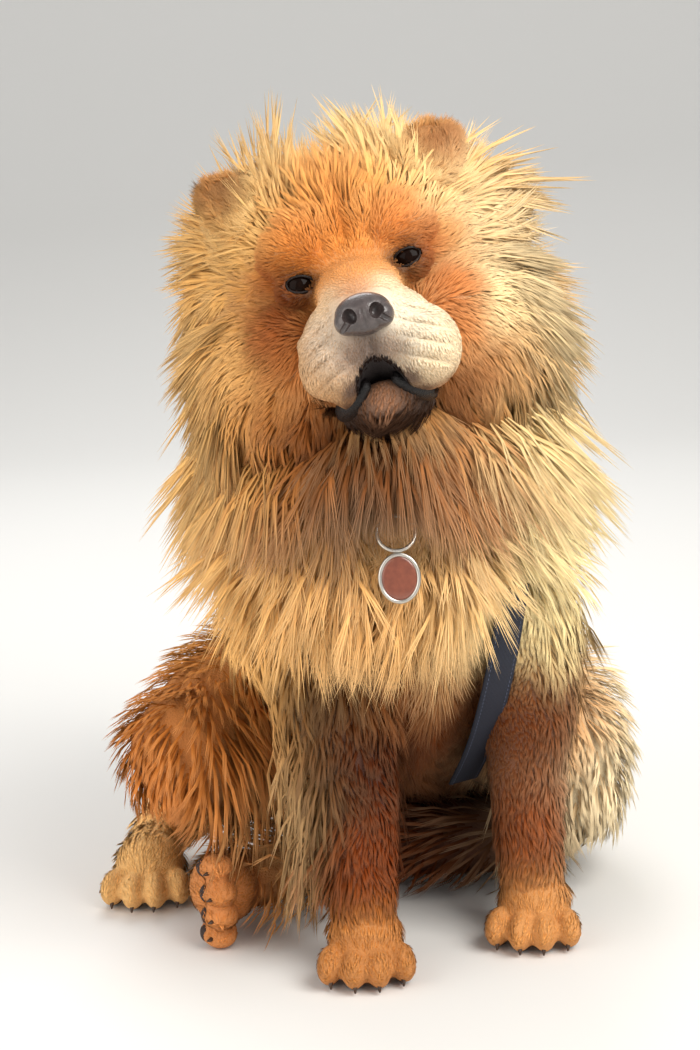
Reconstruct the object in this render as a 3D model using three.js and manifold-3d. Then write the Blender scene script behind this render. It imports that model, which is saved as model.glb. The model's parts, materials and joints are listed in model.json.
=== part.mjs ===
// A sitting chow chow, life size, as a still model. Sizes are in millimetres and +Z is up.
// The animal faces -Y, so its left side is +X, and it sits askew on its left haunch.
import * as THREE from "three";
import { mergeVertices } from "three/addons/utils/BufferGeometryUtils.js";
import Module from "manifold-3d";

const wasm = await Module();
wasm.setup();

// Driving sizes
const eyeSpacing = 76;
const eyeRadius = 11;
const pawWidth = 74;
const strapWidth = 25;
const gap = 0.35; // kept between neighbours
const headPose = { eyes: [10.5, 0, 509.5], pitch: 14, roll: 12 };
const frontPaws = {
  right: { at: [-2, 12, 0], yaw: 0 },
  left: { at: [125, 66, 0], yaw: -8 },
};

const colours = {
  gold: { color: "#d9a25e", roughness: 0.9, metalness: 0 },
  cream: { color: "#e6c08a", roughness: 0.9, metalness: 0 },
  rust: { color: "#a85e28", roughness: 0.9, metalness: 0 },
  face: { color: "#d8a874", roughness: 0.85, metalness: 0 },
  jaw: { color: "#3a241c", roughness: 0.7, metalness: 0 },
  nose: { color: "#4a3f3e", roughness: 0.35, metalness: 0 },
  eye: { color: "#1c110c", roughness: 0.08, metalness: 0 },
  claw: { color: "#3b2f2a", roughness: 0.4, metalness: 0 },
  webbing: { color: "#262b3d", roughness: 0.8, metalness: 0 },
  enamel: { color: "#7a3324", roughness: 0.25, metalness: 0.2 },
  steel: { color: "#b9b6b0", roughness: 0.3, metalness: 1 },
};

const degrees = THREE.MathUtils.degToRad;
const point = (xyz) => new THREE.Vector3(...xyz);
const sum = (solids) => solids.reduce((all, next) => all.add(next));

// A closed three.js geometry as a solid, with shared vertices merged and faces out.
function solidOf(geometry) {
  const bare = new THREE.BufferGeometry();
  bare.setAttribute("position", geometry.getAttribute("position"));
  if (geometry.index) bare.setIndex(geometry.index);
  const merged = mergeVertices(bare, 1e-4);
  const triVerts = new Uint32Array(merged.index.array);
  const vertProperties = new Float32Array(merged.attributes.position.array);
  const make = () => new wasm.Manifold(new wasm.Mesh({ numProp: 3, vertProperties, triVerts }));
  let made = make();
  if (made.volume() < 0) {
    for (let i = 0; i < triVerts.length; i += 3) {
      [triVerts[i + 1], triVerts[i + 2]] = [triVerts[i + 2], triVerts[i + 1]];
    }
    made = make();
  }
  return made;
}

function geometryOf(solid) {
  const mesh = solid.getMesh();
  const geometry = new THREE.BufferGeometry();
  geometry.setAttribute("position", new THREE.BufferAttribute(mesh.vertProperties, 3));
  geometry.setIndex(new THREE.BufferAttribute(mesh.triVerts, 1));
  return geometry;
}

const largest = (solid) =>
  solid.decompose().reduce((best, next) => (next.volume() > best.volume() ? next : best));

// An ellipsoid with its poles on its own Z axis, turned by degrees about X, Y and Z.
function egg({ at, radii, turn = [0, 0, 0], sides = 16, rows = 10 }, grow = 0, pose = null) {
  const shape = new THREE.SphereGeometry(1, sides, rows).rotateX(Math.PI / 2);
  shape.scale(...radii.map((r) => r + grow));
  const angles = new THREE.Euler(...turn.map(degrees), "ZYX");
  shape.applyMatrix4(new THREE.Matrix4().makeRotationFromEuler(angles).setPosition(...at));
  if (pose) shape.applyMatrix4(pose);
  return solidOf(shape);
}

// A round-ended limb through stations, each a place with its half width and half depth.
function limb({ stations, across = [1, 0, 0], sides = 14, steps = 8, round = 0.7, dome = [90, 60, 30] },
  grow = 0, pose = null) {
  const path = new THREE.CatmullRomCurve3(
    stations.map((s) => point(s.at)), false, "catmullrom");
  const girth = new THREE.CatmullRomCurve3(
    stations.map((s) => new THREE.Vector3(s.wide, s.deep, 0)), false, "catmullrom");
  const rings = [];
  const addRing = (t, ahead, share) => {
    const centre = path.getPoint(t);
    const along = path.getTangent(t);
    const size = girth.getPoint(t);
    const side = point(across).addScaledVector(along, -point(across).dot(along)).normalize();
    const deep = along.clone().cross(side);
    const reach = Math.min(size.x, size.y) * round + grow;
    centre.addScaledVector(along, ahead * reach);
    const ring = [];
    for (let j = 0; j < sides; j++) {
      const a = (2 * Math.PI * j) / sides;
      ring.push(centre.clone()
        .addScaledVector(side, Math.cos(a) * (size.x + grow) * share)
        .addScaledVector(deep, Math.sin(a) * (size.y + grow) * share));
    }
    rings.push(share > 0 ? ring : [centre]);
  };
  const capShare = (a) => (a < 90 ? Math.cos(degrees(a)) : 0);
  const capRing = (t, way) => (a) => addRing(t, way * Math.sin(degrees(a)), capShare(a));
  dome.forEach(capRing(0, -1));
  for (let k = 0; k <= steps; k++) addRing(k / steps, 0, 1);
  [...dome].reverse().forEach(capRing(1, 1));
  return skinRings(rings, pose);
}

// Closes a stack of rings, whose first and last may be a single point, into a solid.
function skinRings(rings, pose = null) {
  const vertices = [];
  const starts = [];
  rings.forEach((ring) => {
    starts.push(vertices.length);
    vertices.push(...ring);
  });
  const faces = [];
  for (let k = 0; k + 1 < rings.length; k++) {
    const [a, b] = [rings[k], rings[k + 1]];
    const n = Math.max(a.length, b.length);
    for (let j = 0; j < n; j++) {
      const next = (j + 1) % n;
      if (a.length > 1) faces.push(starts[k] + j, starts[k] + next, starts[k + 1] + (b.length > 1 ? j : 0));
      if (b.length > 1) {
        faces.push(starts[k] + (a.length > 1 ? next : 0), starts[k + 1] + next, starts[k + 1] + j);
      }
    }
  }
  [0, rings.length - 1].forEach((end) => {
    const n = rings[end].length;
    for (let j = 1; j + 1 < n; j++) {
      const fan = [starts[end], starts[end] + j, starts[end] + j + 1];
      faces.push(...(end ? fan : fan.reverse()));
    }
  });
  const shape = new THREE.BufferGeometry();
  shape.setAttribute("position",
    new THREE.BufferAttribute(new Float32Array(vertices.flatMap((v) => v.toArray())), 3));
  shape.setIndex(faces);
  if (pose) shape.applyMatrix4(pose);
  return solidOf(shape);
}

function box(low, high) {
  const size = high.map((h, i) => h - low[i]);
  const shape = new THREE.BoxGeometry(...size);
  shape.translate(...low.map((l, i) => l + size[i] / 2));
  return solidOf(shape);
}

const underFloor = box([-600, -600, -400], [700, 900, 0]);

// Coat. A lock is a flat tapered tuft of four sides, rooted well inside the surface that it grows from,
// that leaves it low and bends back along its lie. Each ring is [place along it, width, thickness].
const lockRings = [[-0.12, 0.75, 0.9], [0.3, 1, 1], [0.68, 0.68, 0.62]];
const floorClear = 5;
const down = new THREE.Vector3(0, 0, -1);

let seed = 11;
function random() {
  seed = (seed * 16807) % 2147483647;
  return seed / 2147483647;
}
const vary = (value, share) => value * (1 + share * (2 * random() - 1));
const spread = (from, to, count) =>
  Array.from({ length: count }, (_, i) => from + ((to - from) * i) / (count - 1));

// The direction at an angle round an axis, measured from zero, and tilted towards the axis.
function around(axis, zero, angle, tilt = 0) {
  const [a, b] = [degrees(angle), degrees(tilt)];
  const flat = zero.clone().multiplyScalar(Math.cos(a));
  flat.addScaledVector(axis.clone().cross(zero), Math.sin(a));
  return flat.multiplyScalar(Math.cos(b)).addScaledVector(axis, Math.sin(b)).normalize();
}

const meshOf = (solid) => {
  const mesh = new THREE.Mesh(geometryOf(solid), new THREE.MeshBasicMaterial());
  mesh.geometry.computeBoundingSphere();
  return mesh;
};

// Where a ray from outside towards the centre meets a surface.
function rootAt(surface, centre, out) {
  const from = centre.clone().addScaledVector(out, 500);
  const [hit] = new THREE.Raycaster(from, out.clone().negate()).intersectObject(surface);
  return { at: hit.point, normal: hit.face.normal.clone().lerp(out, 0.5).normalize() };
}

function planLock(root, lie, size) {
  const stray = new THREE.Vector3(random() - 0.5, random() - 0.5, random() - 0.5);
  const turned = lie.clone().addScaledVector(stray, 0.3);
  return { root, lie: turned, size: { ...size, long: vary(size.long, 0.12), wide: vary(size.wide, 0.1) } };
}

function lock({ root, lie, size }, grow) {
  const { at, normal } = root;
  const ahead = lie.clone().addScaledVector(normal, -lie.dot(normal)).normalize();
  const side = ahead.clone().cross(normal);
  const place = (share) => {
    const rise = size.lift * (share - 0.45 * share * Math.abs(share));
    const spot = at.clone()
      .addScaledVector(normal, -0.5 * size.thick)
      .addScaledVector(ahead, size.long * share)
      .addScaledVector(normal, size.long * rise)
      .addScaledVector(down, size.long * size.droop * share * share);
    spot.z = Math.max(spot.z, floorClear + size.thick * 0.5 * (1 - Math.max(0, share)));
    return spot;
  };
  const rings = lockRings.map(([share, width, depth]) => {
    const centre = place(share);
    const along = place(share + 0.1).sub(place(share - 0.1)).normalize();
    const up = side.clone().cross(along).normalize();
    const [w, t] = [(size.wide * width) / 2 + grow, (size.thick * depth) / 2 + grow];
    return [[w, 0], [0, t], [-w, 0], [0, -t]].map(([x, y]) =>
      centre.clone().addScaledVector(side, x).addScaledVector(up, y));
  });
  rings.push([place(1 + grow / size.long)]);
  return skinRings(rings);
}

const locksOf = (plans, grow) => plans.map((plan) => lock(plan, grow));

// Locks in rows along a limb: each row has its place along it, its angles from the front and its lock.
function limbLocks(core, rows, lieAt) {
  const surface = meshOf(limb(core));
  const path = new THREE.CatmullRomCurve3(core.stations.map((s) => point(s.at)), false, "catmullrom");
  return rows.flatMap(({ place, from, to, count, ...size }) =>
    spread(from, to, count).map((angle) => {
      const along = path.getTangent(place);
      const side = point(core.across ?? [1, 0, 0]);
      const zero = along.clone().cross(side).normalize();
      const out = around(along, zero, angle);
      const root = rootAt(surface, path.getPoint(place), out);
      return planLock(root, lieAt(out, along), size);
    }));
}

// Head. Its own frame has its origin between the eyes, -Y along the muzzle and +Z to the crown.
const headMatrix = new THREE.Matrix4()
  .makeRotationY(-degrees(headPose.roll))
  .multiply(new THREE.Matrix4().makeRotationX(-degrees(headPose.pitch)))
  .setPosition(...headPose.eyes);
const bothSides = [-1, 1];
const eyeAt = (s) => [(s * eyeSpacing) / 2, 3, 2];
const earAt = (s) => new THREE.Vector3(s * 70, 44, 80).applyMatrix4(headMatrix);

function eyeball(s, grow) {
  const radii = [eyeRadius, eyeRadius, eyeRadius];
  return egg({ at: eyeAt(s), radii, sides: 12, rows: 6 }, grow, headMatrix);
}

// The skull with its cheeks, brows, lids and muzzle, before the coat.
function headCore(grow) {
  const eggs = [
    { at: [0, 62, 16], radii: [84, 84, 62], sides: 12, rows: 8 },
    { at: [0, 105, -28], radii: [90, 74, 84], sides: 9, rows: 5 },
    { at: [0, -22, -46], radii: [47, 46, 37], sides: 12, rows: 7 },
  ];
  bothSides.forEach((s) => {
    eggs.push({ at: [s * 52, 45, -45], radii: [54, 56, 60], sides: 9, rows: 6 });
    eggs.push({ at: [s * 30, 6, 27], radii: [34, 27, 22], turn: [0, s * 12, 0], sides: 10, rows: 5 });
    eggs.push({ at: [s * 30, -27, -61], radii: [29, 39, 31], turn: [0, s * -8, s * 10], sides: 12, rows: 7 });
    eggs.push({ at: eyeAt(s), radii: [16.5, 15, 14], sides: 10, rows: 6 });
  });
  const flesh = sum(eggs.map((e) => egg(e, grow, headMatrix)));
  const bridge = limb({
    stations: [
      { at: [0, 30, -2], wide: 36, deep: 26 },
      { at: [0, -20, -14], wide: 30, deep: 22 },
      { at: [0, -58, -34], wide: 22, deep: 15 },
    ], sides: 10, steps: 3, dome: [90, 45],
  }, grow, headMatrix);
  const mouthArch = egg({ at: [0, -48, -94], radii: [21, 40, 31], sides: 12, rows: 6 }, -grow, headMatrix);
  return flesh.add(bridge).subtract(mouthArch);
}

function eyeSlit(s, grow) {
  const at = [s * (eyeSpacing / 2 - 1), -12, 2];
  return egg({ at, radii: [11, 13, 6.5], turn: [0, s * 14, 0], sides: 10, rows: 5 },
    -grow, headMatrix);
}

// Rows of ruff locks, each tilted from the ear plane towards the face, with its first and last
// angle from the crown and the length at the crown, cheek and throat.
const ruffRows = [
  { tilt: 24, from: 62, to: 298, count: 8, long: [40, 72, 78], wide: 52, lift: 0.9 },
  { tilt: 2, from: -128, to: 128, count: 10, long: [50, 90, 90], wide: 60, lift: 1.3 },
  { tilt: -28, from: -104, to: 104, count: 8, long: [66, 96, 96], wide: 66, lift: 1.1 },
  { tilt: -56, from: -62, to: 62, count: 3, long: [74, 92, 86], wide: 70, lift: 0.6 },
];

function ruffLocks() {
  const centre = new THREE.Vector3(0, 66, -12).applyMatrix4(headMatrix);
  const face = new THREE.Vector3(0, -1, 0).transformDirection(headMatrix);
  const crown = new THREE.Vector3(0, 0, 1).transformDirection(headMatrix);
  const surface = meshOf(headCore(0));
  return ruffRows.flatMap(({ tilt, from, to, count, long, wide, lift }) =>
    spread(from, to, count).flatMap((angle) => {
      const out = around(face, crown, angle, tilt);
      const root = rootAt(surface, centre, out);
      const low = Math.abs(angle > 180 ? 360 - angle : angle) / 180; // 0 at the crown and 1 at the throat
      const length = low < 0.5
        ? THREE.MathUtils.lerp(long[0], long[1], low * 2)
        : THREE.MathUtils.lerp(long[1], long[2], low * 2 - 1);
      const lie = out.clone()
        .addScaledVector(face, THREE.MathUtils.lerp(-0.6, 0.2, low))
        .addScaledVector(down, low * 0.8);
      const nearEar = bothSides.some((s) => root.at.distanceTo(earAt(s)) < 34);
      const size = {
        long: length, wide, thick: 15,
        lift: THREE.MathUtils.lerp(0.7, lift, Math.min(1, low * 2)),
        droop: 0.05 + 0.2 * low,
      };
      return nearEar ? [] : [planLock(root, lie, size)];
    }));
}

function head(grow) {
  const coat = sum(locksOf(headLocks, grow)).subtract(limb(neckCore, gap - grow));
  let made = headCore(grow).add(coat);
  bothSides.forEach((s) => {
    made = made.subtract(eyeSlit(s, grow));
  });
  return made;
}

function nose(grow) {
  const pad = egg({ at: [0, -66, -36], radii: [19, 14, 14], sides: 10, rows: 5 }, grow, headMatrix);
  const wings = bothSides.map((s) =>
    egg({ at: [s * 11, -68, -39], radii: [9, 11, 9], sides: 7, rows: 4 }, grow, headMatrix));
  const nostrils = bothSides.map((s) =>
    egg({ at: [s * 9.5, -80, -38], radii: [4.2, 8, 5], turn: [0, s * 25, s * 20], sides: 6, rows: 4 },
      -grow, headMatrix));
  return sum([pad, ...wings]).subtract(sum(nostrils));
}

function lowerJaw(grow) {
  const chin = limb({
    stations: [
      { at: [0, 22, -92], wide: 38, deep: 19 },
      { at: [0, -4, -91], wide: 32, deep: 17 },
      { at: [0, -30, -89], wide: 24, deep: 15 },
    ], sides: 8, steps: 2, round: 0.8, dome: [90, 45],
  }, grow, headMatrix);
  const lips = bothSides.map((s) => limb({
    stations: [
      { at: [s * 14, -38, -80], wide: 6, deep: 6 },
      { at: [s * 26, -22, -86], wide: 8, deep: 8 },
      { at: [s * 40, 4, -92], wide: 9, deep: 9 },
    ], sides: 5, steps: 2, dome: [90],
  }, grow, headMatrix));
  return sum([chin, ...lips]);
}

function ear(s, grow) {
  const lean = { turn: [-8, s * 22, s * 12] };
  const shellShape = { at: [s * 70, 44, 80], radii: [28, 13, 36], ...lean, sides: 12, rows: 6 };
  const cupShape = { at: [s * 69, 33, 78], radii: [17, 11, 25], ...lean, sides: 10, rows: 5 };
  const shell = egg(shellShape, grow, headMatrix);
  const cup = egg(cupShape, -grow, headMatrix);
  return shell.subtract(cup);
}

const tagCentre = [32, -35, 306];
const strapPath = [
  [113, 14, 284], [108, 29, 246], [103, 36, 222], [95, 51, 194], [85, 75, 164], [74, 99, 138], [62, 125, 112],
];

// Neck, torso and tail, each with the inner half of its coat.
const neckCore = {
  stations: [
    { at: [15, 80, 460], wide: 88, deep: 80 },
    { at: [22, 80, 400], wide: 102, deep: 90 },
    { at: [26, 84, 350], wide: 110, deep: 96 },
  ], sides: 12, steps: 3, dome: [90, 45],
};
const torsoCore = {
  stations: [
    { at: [24, 62, 318], wide: 114, deep: 92 },
    { at: [30, 112, 268], wide: 114, deep: 108 },
    { at: [40, 175, 205], wide: 110, deep: 106 },
    { at: [52, 245, 150], wide: 114, deep: 100 },
    { at: [60, 300, 100], wide: 108, deep: 84 },
  ], sides: 12, steps: 5, dome: [90, 45],
};
const tailBase = {
  stations: [
    { at: [62, 350, 165], wide: 27, deep: 27 },
    { at: [64, 398, 225], wide: 30, deep: 28 },
    { at: [62, 404, 290], wide: 32, deep: 28 },
  ], sides: 8, steps: 3, dome: [90, 45],
};
const tailCurl = {
  stations: [
    { at: [62, 404, 290], wide: 32, deep: 28 },
    { at: [57, 366, 346], wide: 32, deep: 27 },
    { at: [48, 290, 354], wide: 26, deep: 22 },
  ], sides: 8, steps: 4, dome: [90, 45],
};

// The mane over the neck and chest, the back and flanks, and the plume of the tail.
const maneRows = [
  { place: 0.38, from: 20, to: 340, count: 9, long: 104, wide: 74, thick: 17, lift: 0.58, droop: 0.12 },
];
const bodyRows = [
  { place: 0.02, from: 90, to: 270, count: 5, long: 100, wide: 80, thick: 17, lift: 0.5, droop: 0.06 },
  { place: 0.3, from: 105, to: 255, count: 4, long: 96, wide: 80, thick: 17, lift: 0.4, droop: 0.04 },
  { place: 0.54, from: 75, to: 285, count: 6, long: 96, wide: 78, thick: 17, lift: 0.36, droop: 0.04 },
  { place: 0.78, from: 100, to: 260, count: 4, long: 90, wide: 80, thick: 17, lift: 0.34, droop: 0.04 },
  { place: 0.98, from: 125, to: 235, count: 3, long: 70, wide: 70, thick: 16, lift: 0.34, droop: 0.04 },
];
// The bib falls from level rows round the front of the chest, at angles from straight ahead.
const bibAxis = [26, 100];
const bibRows = [
  { height: 326, from: -96, to: 96, count: 7, long: 104, wide: 72, thick: 18, lift: 0.6, droop: 0.1 },
  { height: 276, from: -64, to: 64, count: 5, long: 90, wide: 66, thick: 17, lift: 0.45, droop: 0.1 },
];
const plumeRows = [0.15, 0.55, 0.95].map((place, i) => (
  {
    place, from: i * 60, to: i * 60 + 240, count: 3,
    long: 66, wide: 56, thick: 16, lift: 0.75, droop: 0.1,
  }));
const aboveTag = (at) => Math.abs(at.x - tagCentre[0]) < 26 && at.y < 40 && at.z > 312;
const nearStrap = (at) => strapPath.some((p) => at.distanceTo(point(p)) < 34);

function bibLocks() {
  const surface = meshOf(limb(torsoCore));
  return bibRows.flatMap(({ height, from, to, count, ...size }) =>
    spread(from, to, count).flatMap((angle) => {
      const out = new THREE.Vector3(Math.sin(degrees(angle)), -Math.cos(degrees(angle)), 0);
      const root = rootAt(surface, new THREE.Vector3(...bibAxis, height), out);
      const lie = down.clone().addScaledVector(out, 0.25);
      return aboveTag(root.at) || nearStrap(root.at) ? [] : [planLock(root, lie, size)];
    }));
}

const maneLocks = limbLocks(neckCore, maneRows, (out, along) =>
  along.clone().addScaledVector(out, 0.35).addScaledVector(down, 0.5));
const bodyLocks = [
  ...limbLocks(torsoCore, bodyRows, (out, along) => along.clone().addScaledVector(down, 0.5)),
  ...bibLocks(),
];
const plumeLie = (out, along) => along.clone().addScaledVector(out, 0.5);
const tailLengths = {
  tail_base: { core: tailBase, locks: limbLocks(tailBase, plumeRows, plumeLie) },
  tail_curl: { core: tailCurl, locks: limbLocks(tailCurl, plumeRows, plumeLie) },
};
const headLocks = ruffLocks();

const neck = (grow) => sum([limb(neckCore, grow), ...locksOf(maneLocks, grow)]);
const torso = (grow) => sum([limb(torsoCore, grow), ...locksOf(bodyLocks, grow)]).subtract(underFloor);
const tail = ({ core, locks }, grow) => sum([limb(core, grow), ...locksOf(locks, grow)]);

// Legs
const frontLegs = {
  right: [
    { at: [-2, 24, 44], wide: 27, deep: 27 },
    { at: [-3, 38, 110], wide: 30, deep: 31 },
    { at: [-14, 52, 190], wide: 42, deep: 42 },
    { at: [-42, 64, 262], wide: 54, deep: 54 },
  ],
  left: [
    { at: [125, 78, 44], wide: 27, deep: 27 },
    { at: [124, 90, 110], wide: 31, deep: 31 },
    { at: [126, 96, 190], wide: 42, deep: 44 },
    { at: [112, 96, 262], wide: 56, deep: 56 },
  ],
};
const thighs = {
  right: [
    { at: [-20, 285, 120], wide: 62, deep: 78 },
    { at: [-92, 200, 140], wide: 58, deep: 76 },
    { at: [-138, 122, 138], wide: 46, deep: 50 },
  ],
  left: [
    { at: [118, 285, 92], wide: 62, deep: 78 },
    { at: [160, 215, 100], wide: 52, deep: 82 },
    { at: [160, 160, 106], wide: 44, deep: 64 },
  ],
};
const shanks = {
  right: [
    { at: [-112, 226, 92], wide: 40, deep: 38 },
    { at: [-146, 264, 50], wide: 32, deep: 30 },
    { at: [-168, 246, 30], wide: 27, deep: 26 },
    { at: [-172, 205, 29], wide: 26, deep: 25 },
  ],
  left: [
    { at: [110, 190, 40], wide: 34, deep: 34 },
    { at: [20, 196, 34], wide: 32, deep: 32 },
    { at: [-62, 150, 32], wide: 27, deep: 28 },
    { at: [-98, 122, 34], wide: 25, deep: 28 },
  ],
};

// Feathering behind the front legs, at angles from the back, and breeches on the haunches, from the top.
const featherRows = [0.2, 0.5].map((place) => (
  { place, long: 64, wide: 44, thick: 13, lift: 0.4, droop: 0.25, count: 2 }));
const breechRows = [0.3, 0.72].map((place) => (
  { place, long: 76, wide: 66, thick: 15, lift: 0.4, droop: 0.2, count: 3 }));
const legCore = (side) => ({ stations: frontLegs[side], sides: 8, steps: 4, dome: [90, 45] });
const thighCore = (side) => ({ stations: thighs[side], sides: 8, steps: 3, dome: [90, 45] });
const outward = { right: -1, left: 1 };
const featherLocks = {};
const breechLocks = {};
for (const side of ["right", "left"]) {
  const turn = outward[side];
  featherLocks[side] = limbLocks(legCore(side),
    featherRows.map((r) => ({ ...r, from: turn * 5, to: turn * -60 })),
    (out) => out.clone().multiplyScalar(0.5).add(down));
  breechLocks[side] = limbLocks(thighCore(side),
    breechRows.map((r) => ({ ...r, from: turn * -50, to: turn * -150 })),
    (out, along) => along.clone().multiplyScalar(-0.7).addScaledVector(down, 0.7).addScaledVector(out, 0.3));
}

const frontLeg = (side, grow) => sum([limb(legCore(side), grow), ...locksOf(featherLocks[side], grow)]);
const thigh = (side, grow) =>
  sum([limb(thighCore(side), grow), ...locksOf(breechLocks[side], grow)]).subtract(underFloor);
const shankCore = (side) => (
  { stations: shanks[side], across: [0, 0, 1], sides: 8, steps: 4, dome: [90, 45] });
const shank = (side, grow) => limb(shankCore(side), grow).subtract(underFloor);

// Paws, each with four toes and four claws, in a frame with its sole at Z 0 and -Y ahead.
const hindPaws = {
  right: { at: [-173, 184, 0], yaw: -4 },
  left: { at: [-107, 98, 36], yaw: 14, onSide: true },
};
const toes = [-1.5, -0.5, 0.5, 1.5].map((place) => {
  const outer = Math.abs(place) > 1;
  return {
    at: [place * pawWidth * 0.235, outer ? -15 : -24, 15],
    radii: [pawWidth * 0.145, 20, 15.5],
    turn: [0, 0, place * 7],
  };
});

function pawMatrix({ at, yaw, onSide }) {
  const pose = new THREE.Matrix4().makeRotationZ(degrees(yaw));
  if (onSide) pose.multiply(new THREE.Matrix4().makeRotationY(degrees(90)));
  const lift = new THREE.Matrix4().makeTranslation(0, 0, onSide ? -24 : 0);
  return new THREE.Matrix4().makeTranslation(...at).multiply(pose).multiply(lift);
}

function paw(place, grow) {
  const pose = pawMatrix(place);
  const eggs = [
    { at: [0, 10, 25], radii: [29, 32, 28], sides: 9, rows: 5 },
    ...toes.map((t) => ({ ...t, sides: 6, rows: 4 })),
  ];
  return sum(eggs.map((e) => egg(e, grow, pose))).subtract(underFloor);
}

function claw(place, toe, grow) {
  const [x, y, z] = toe.at;
  const root = [x, y - toe.radii[1] * 0.8, z - 3];
  return limb({
    stations: [
      { at: root, wide: 3, deep: 3.4 },
      { at: [x, root[1] - 5, z - 6], wide: 2.6, deep: 3 },
      { at: [x, root[1] - 8.5, z - 11], wide: 1, deep: 1.2 },
    ], sides: 4, steps: 1, dome: [90],
  }, grow, pawMatrix(place));
}

// Collar, tag and the chest strap of the harness
const collarHeight = 356;
function collar(grow) {
  const band = limb(neckCore, 5 + grow).subtract(limb(neckCore, 1.5 - grow));
  const half = 12 + grow;
  return band.intersect(box([-300, -300, collarHeight - half], [300, 400, collarHeight + half]));
}

function tag(grow) {
  return egg({ at: tagCentre, radii: [14, 1.8, 17], turn: [-8, 0, 0], sides: 12, rows: 6 }, grow);
}

function tagRing(grow) {
  const ring = new THREE.TorusGeometry(13, 1.4 + grow, 5, 12).rotateX(degrees(54));
  return solidOf(ring.translate(tagCentre[0] - 1, tagCentre[1] + 10.5, tagCentre[2] + 29));
}

function strap(grow) {
  return limb({
    stations: strapPath.map((at) => ({ at, wide: strapWidth / 2, deep: 1.6 })), across: [0.75, 0.65, 0],
    steps: 10, sides: 6, round: 0.5, dome: [90],
  }, grow);
}

// Every node in turn, each cut clear of the ones before it.
const model = new THREE.Group();
const made = [];
function addNode(name, build, colour) {
  let solid = build(0);
  const reach = solid.boundingBox();
  const near = (o) => [0, 1, 2].every((i) => o.low[i] < reach.max[i] + 1 && o.high[i] > reach.min[i] - 1);
  made.filter(near).forEach((other) => {
    solid = solid.subtract(other.grown);
  });
  solid = largest(solid);
  const grown = build(gap);
  const bounds = grown.boundingBox();
  made.push({ name, grown, low: bounds.min, high: bounds.max });
  const mesh = new THREE.Mesh(geometryOf(solid), new THREE.MeshStandardMaterial(colours[colour]));
  mesh.name = name;
  model.add(mesh);
}

const sideName = { "-1": "right", 1: "left" };
bothSides.forEach((s) => addNode(`eye_${sideName[s]}`, (grow) => eyeball(s, grow), "eye"));
addNode("nose", nose, "nose");
addNode("tag", tag, "enamel");
addNode("strap", strap, "webbing");
addNode("collar", collar, "webbing");
addNode("tag_ring", tagRing, "steel");
bothSides.forEach((s) =>
  addNode(`ear_${sideName[s]}`, (grow) => ear(s, grow).subtract(headCore(gap - grow)), "gold"));
addNode("head", head, "gold");
addNode("lower_jaw", lowerJaw, "jaw");
addNode("neck", neck, "cream");
addNode("torso", torso, "gold");
for (const side of ["right", "left"]) {
  addNode(`front_leg_${side}`, (grow) => frontLeg(side, grow), "rust");
  addNode(`front_paw_${side}`, (grow) => paw(frontPaws[side], grow), "face");
  addNode(`thigh_${side}`, (grow) => thigh(side, grow), "rust");
  addNode(`hind_paw_${side}`, (grow) => paw(hindPaws[side], grow), "face");
  addNode(`hind_shank_${side}`, (grow) => shank(side, grow), "rust");
}
for (const [name, length] of Object.entries(tailLengths)) {
  addNode(name, (grow) => tail(length, grow), "cream");
}
for (const side of ["right", "left"]) {
  toes.forEach((toe, i) => {
    addNode(`front_claw_${side}_${i + 1}`, (grow) => claw(frontPaws[side], toe, grow), "claw");
    addNode(`hind_claw_${side}_${i + 1}`, (grow) => claw(hindPaws[side], toe, grow), "claw");
  });
}

// The origin is on the floor under the middle of the whole animal.
const reach = new THREE.Box3().setFromObject(model);
const middle = reach.getCenter(new THREE.Vector3());
model.position.set(-middle.x, -middle.y, 0);
const part = new THREE.Group();
part.add(model);

export default part;
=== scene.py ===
# Sitting chow chow: skin, coat, face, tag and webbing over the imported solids.
import json
import math

import bpy
import bmesh
import numpy as np
from mathutils import Euler, Matrix, Vector

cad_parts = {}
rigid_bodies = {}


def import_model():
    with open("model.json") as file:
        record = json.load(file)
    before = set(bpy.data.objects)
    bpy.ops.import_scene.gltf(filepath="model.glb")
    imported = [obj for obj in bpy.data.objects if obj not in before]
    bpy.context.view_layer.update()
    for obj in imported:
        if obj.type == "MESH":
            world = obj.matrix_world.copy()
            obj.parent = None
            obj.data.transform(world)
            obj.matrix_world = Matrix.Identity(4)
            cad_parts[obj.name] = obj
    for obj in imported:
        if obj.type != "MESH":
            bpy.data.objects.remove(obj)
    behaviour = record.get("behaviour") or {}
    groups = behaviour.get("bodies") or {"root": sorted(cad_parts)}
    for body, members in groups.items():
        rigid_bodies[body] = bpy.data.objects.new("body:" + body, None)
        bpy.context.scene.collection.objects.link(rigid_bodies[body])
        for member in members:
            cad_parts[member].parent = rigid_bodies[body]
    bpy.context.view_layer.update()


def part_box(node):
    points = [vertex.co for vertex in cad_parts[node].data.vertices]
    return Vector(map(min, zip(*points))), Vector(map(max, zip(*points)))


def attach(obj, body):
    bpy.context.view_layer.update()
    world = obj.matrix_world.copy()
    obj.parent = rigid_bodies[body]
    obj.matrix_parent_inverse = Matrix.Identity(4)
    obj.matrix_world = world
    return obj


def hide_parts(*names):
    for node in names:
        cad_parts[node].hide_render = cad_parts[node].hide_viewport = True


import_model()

millimetre = 0.001

# The head's own frame has its origin between the eyes, -Y along the muzzle and +Z to the crown.
headPose = {"eyes": (10.5, 0.0, 509.5), "pitch": 14, "roll": 12, "eyeSpacing": 76, "eyeRadius": 11}
headMatrix = (Matrix.Translation(headPose["eyes"])
              @ Matrix.Rotation(-math.radians(headPose["roll"]), 4, "Y")
              @ Matrix.Rotation(-math.radians(headPose["pitch"]), 4, "X"))
headInverse = np.array(headMatrix.inverted())


def eyeAt(side):
    return Vector((side * headPose["eyeSpacing"] / 2, 3, 2))


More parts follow.
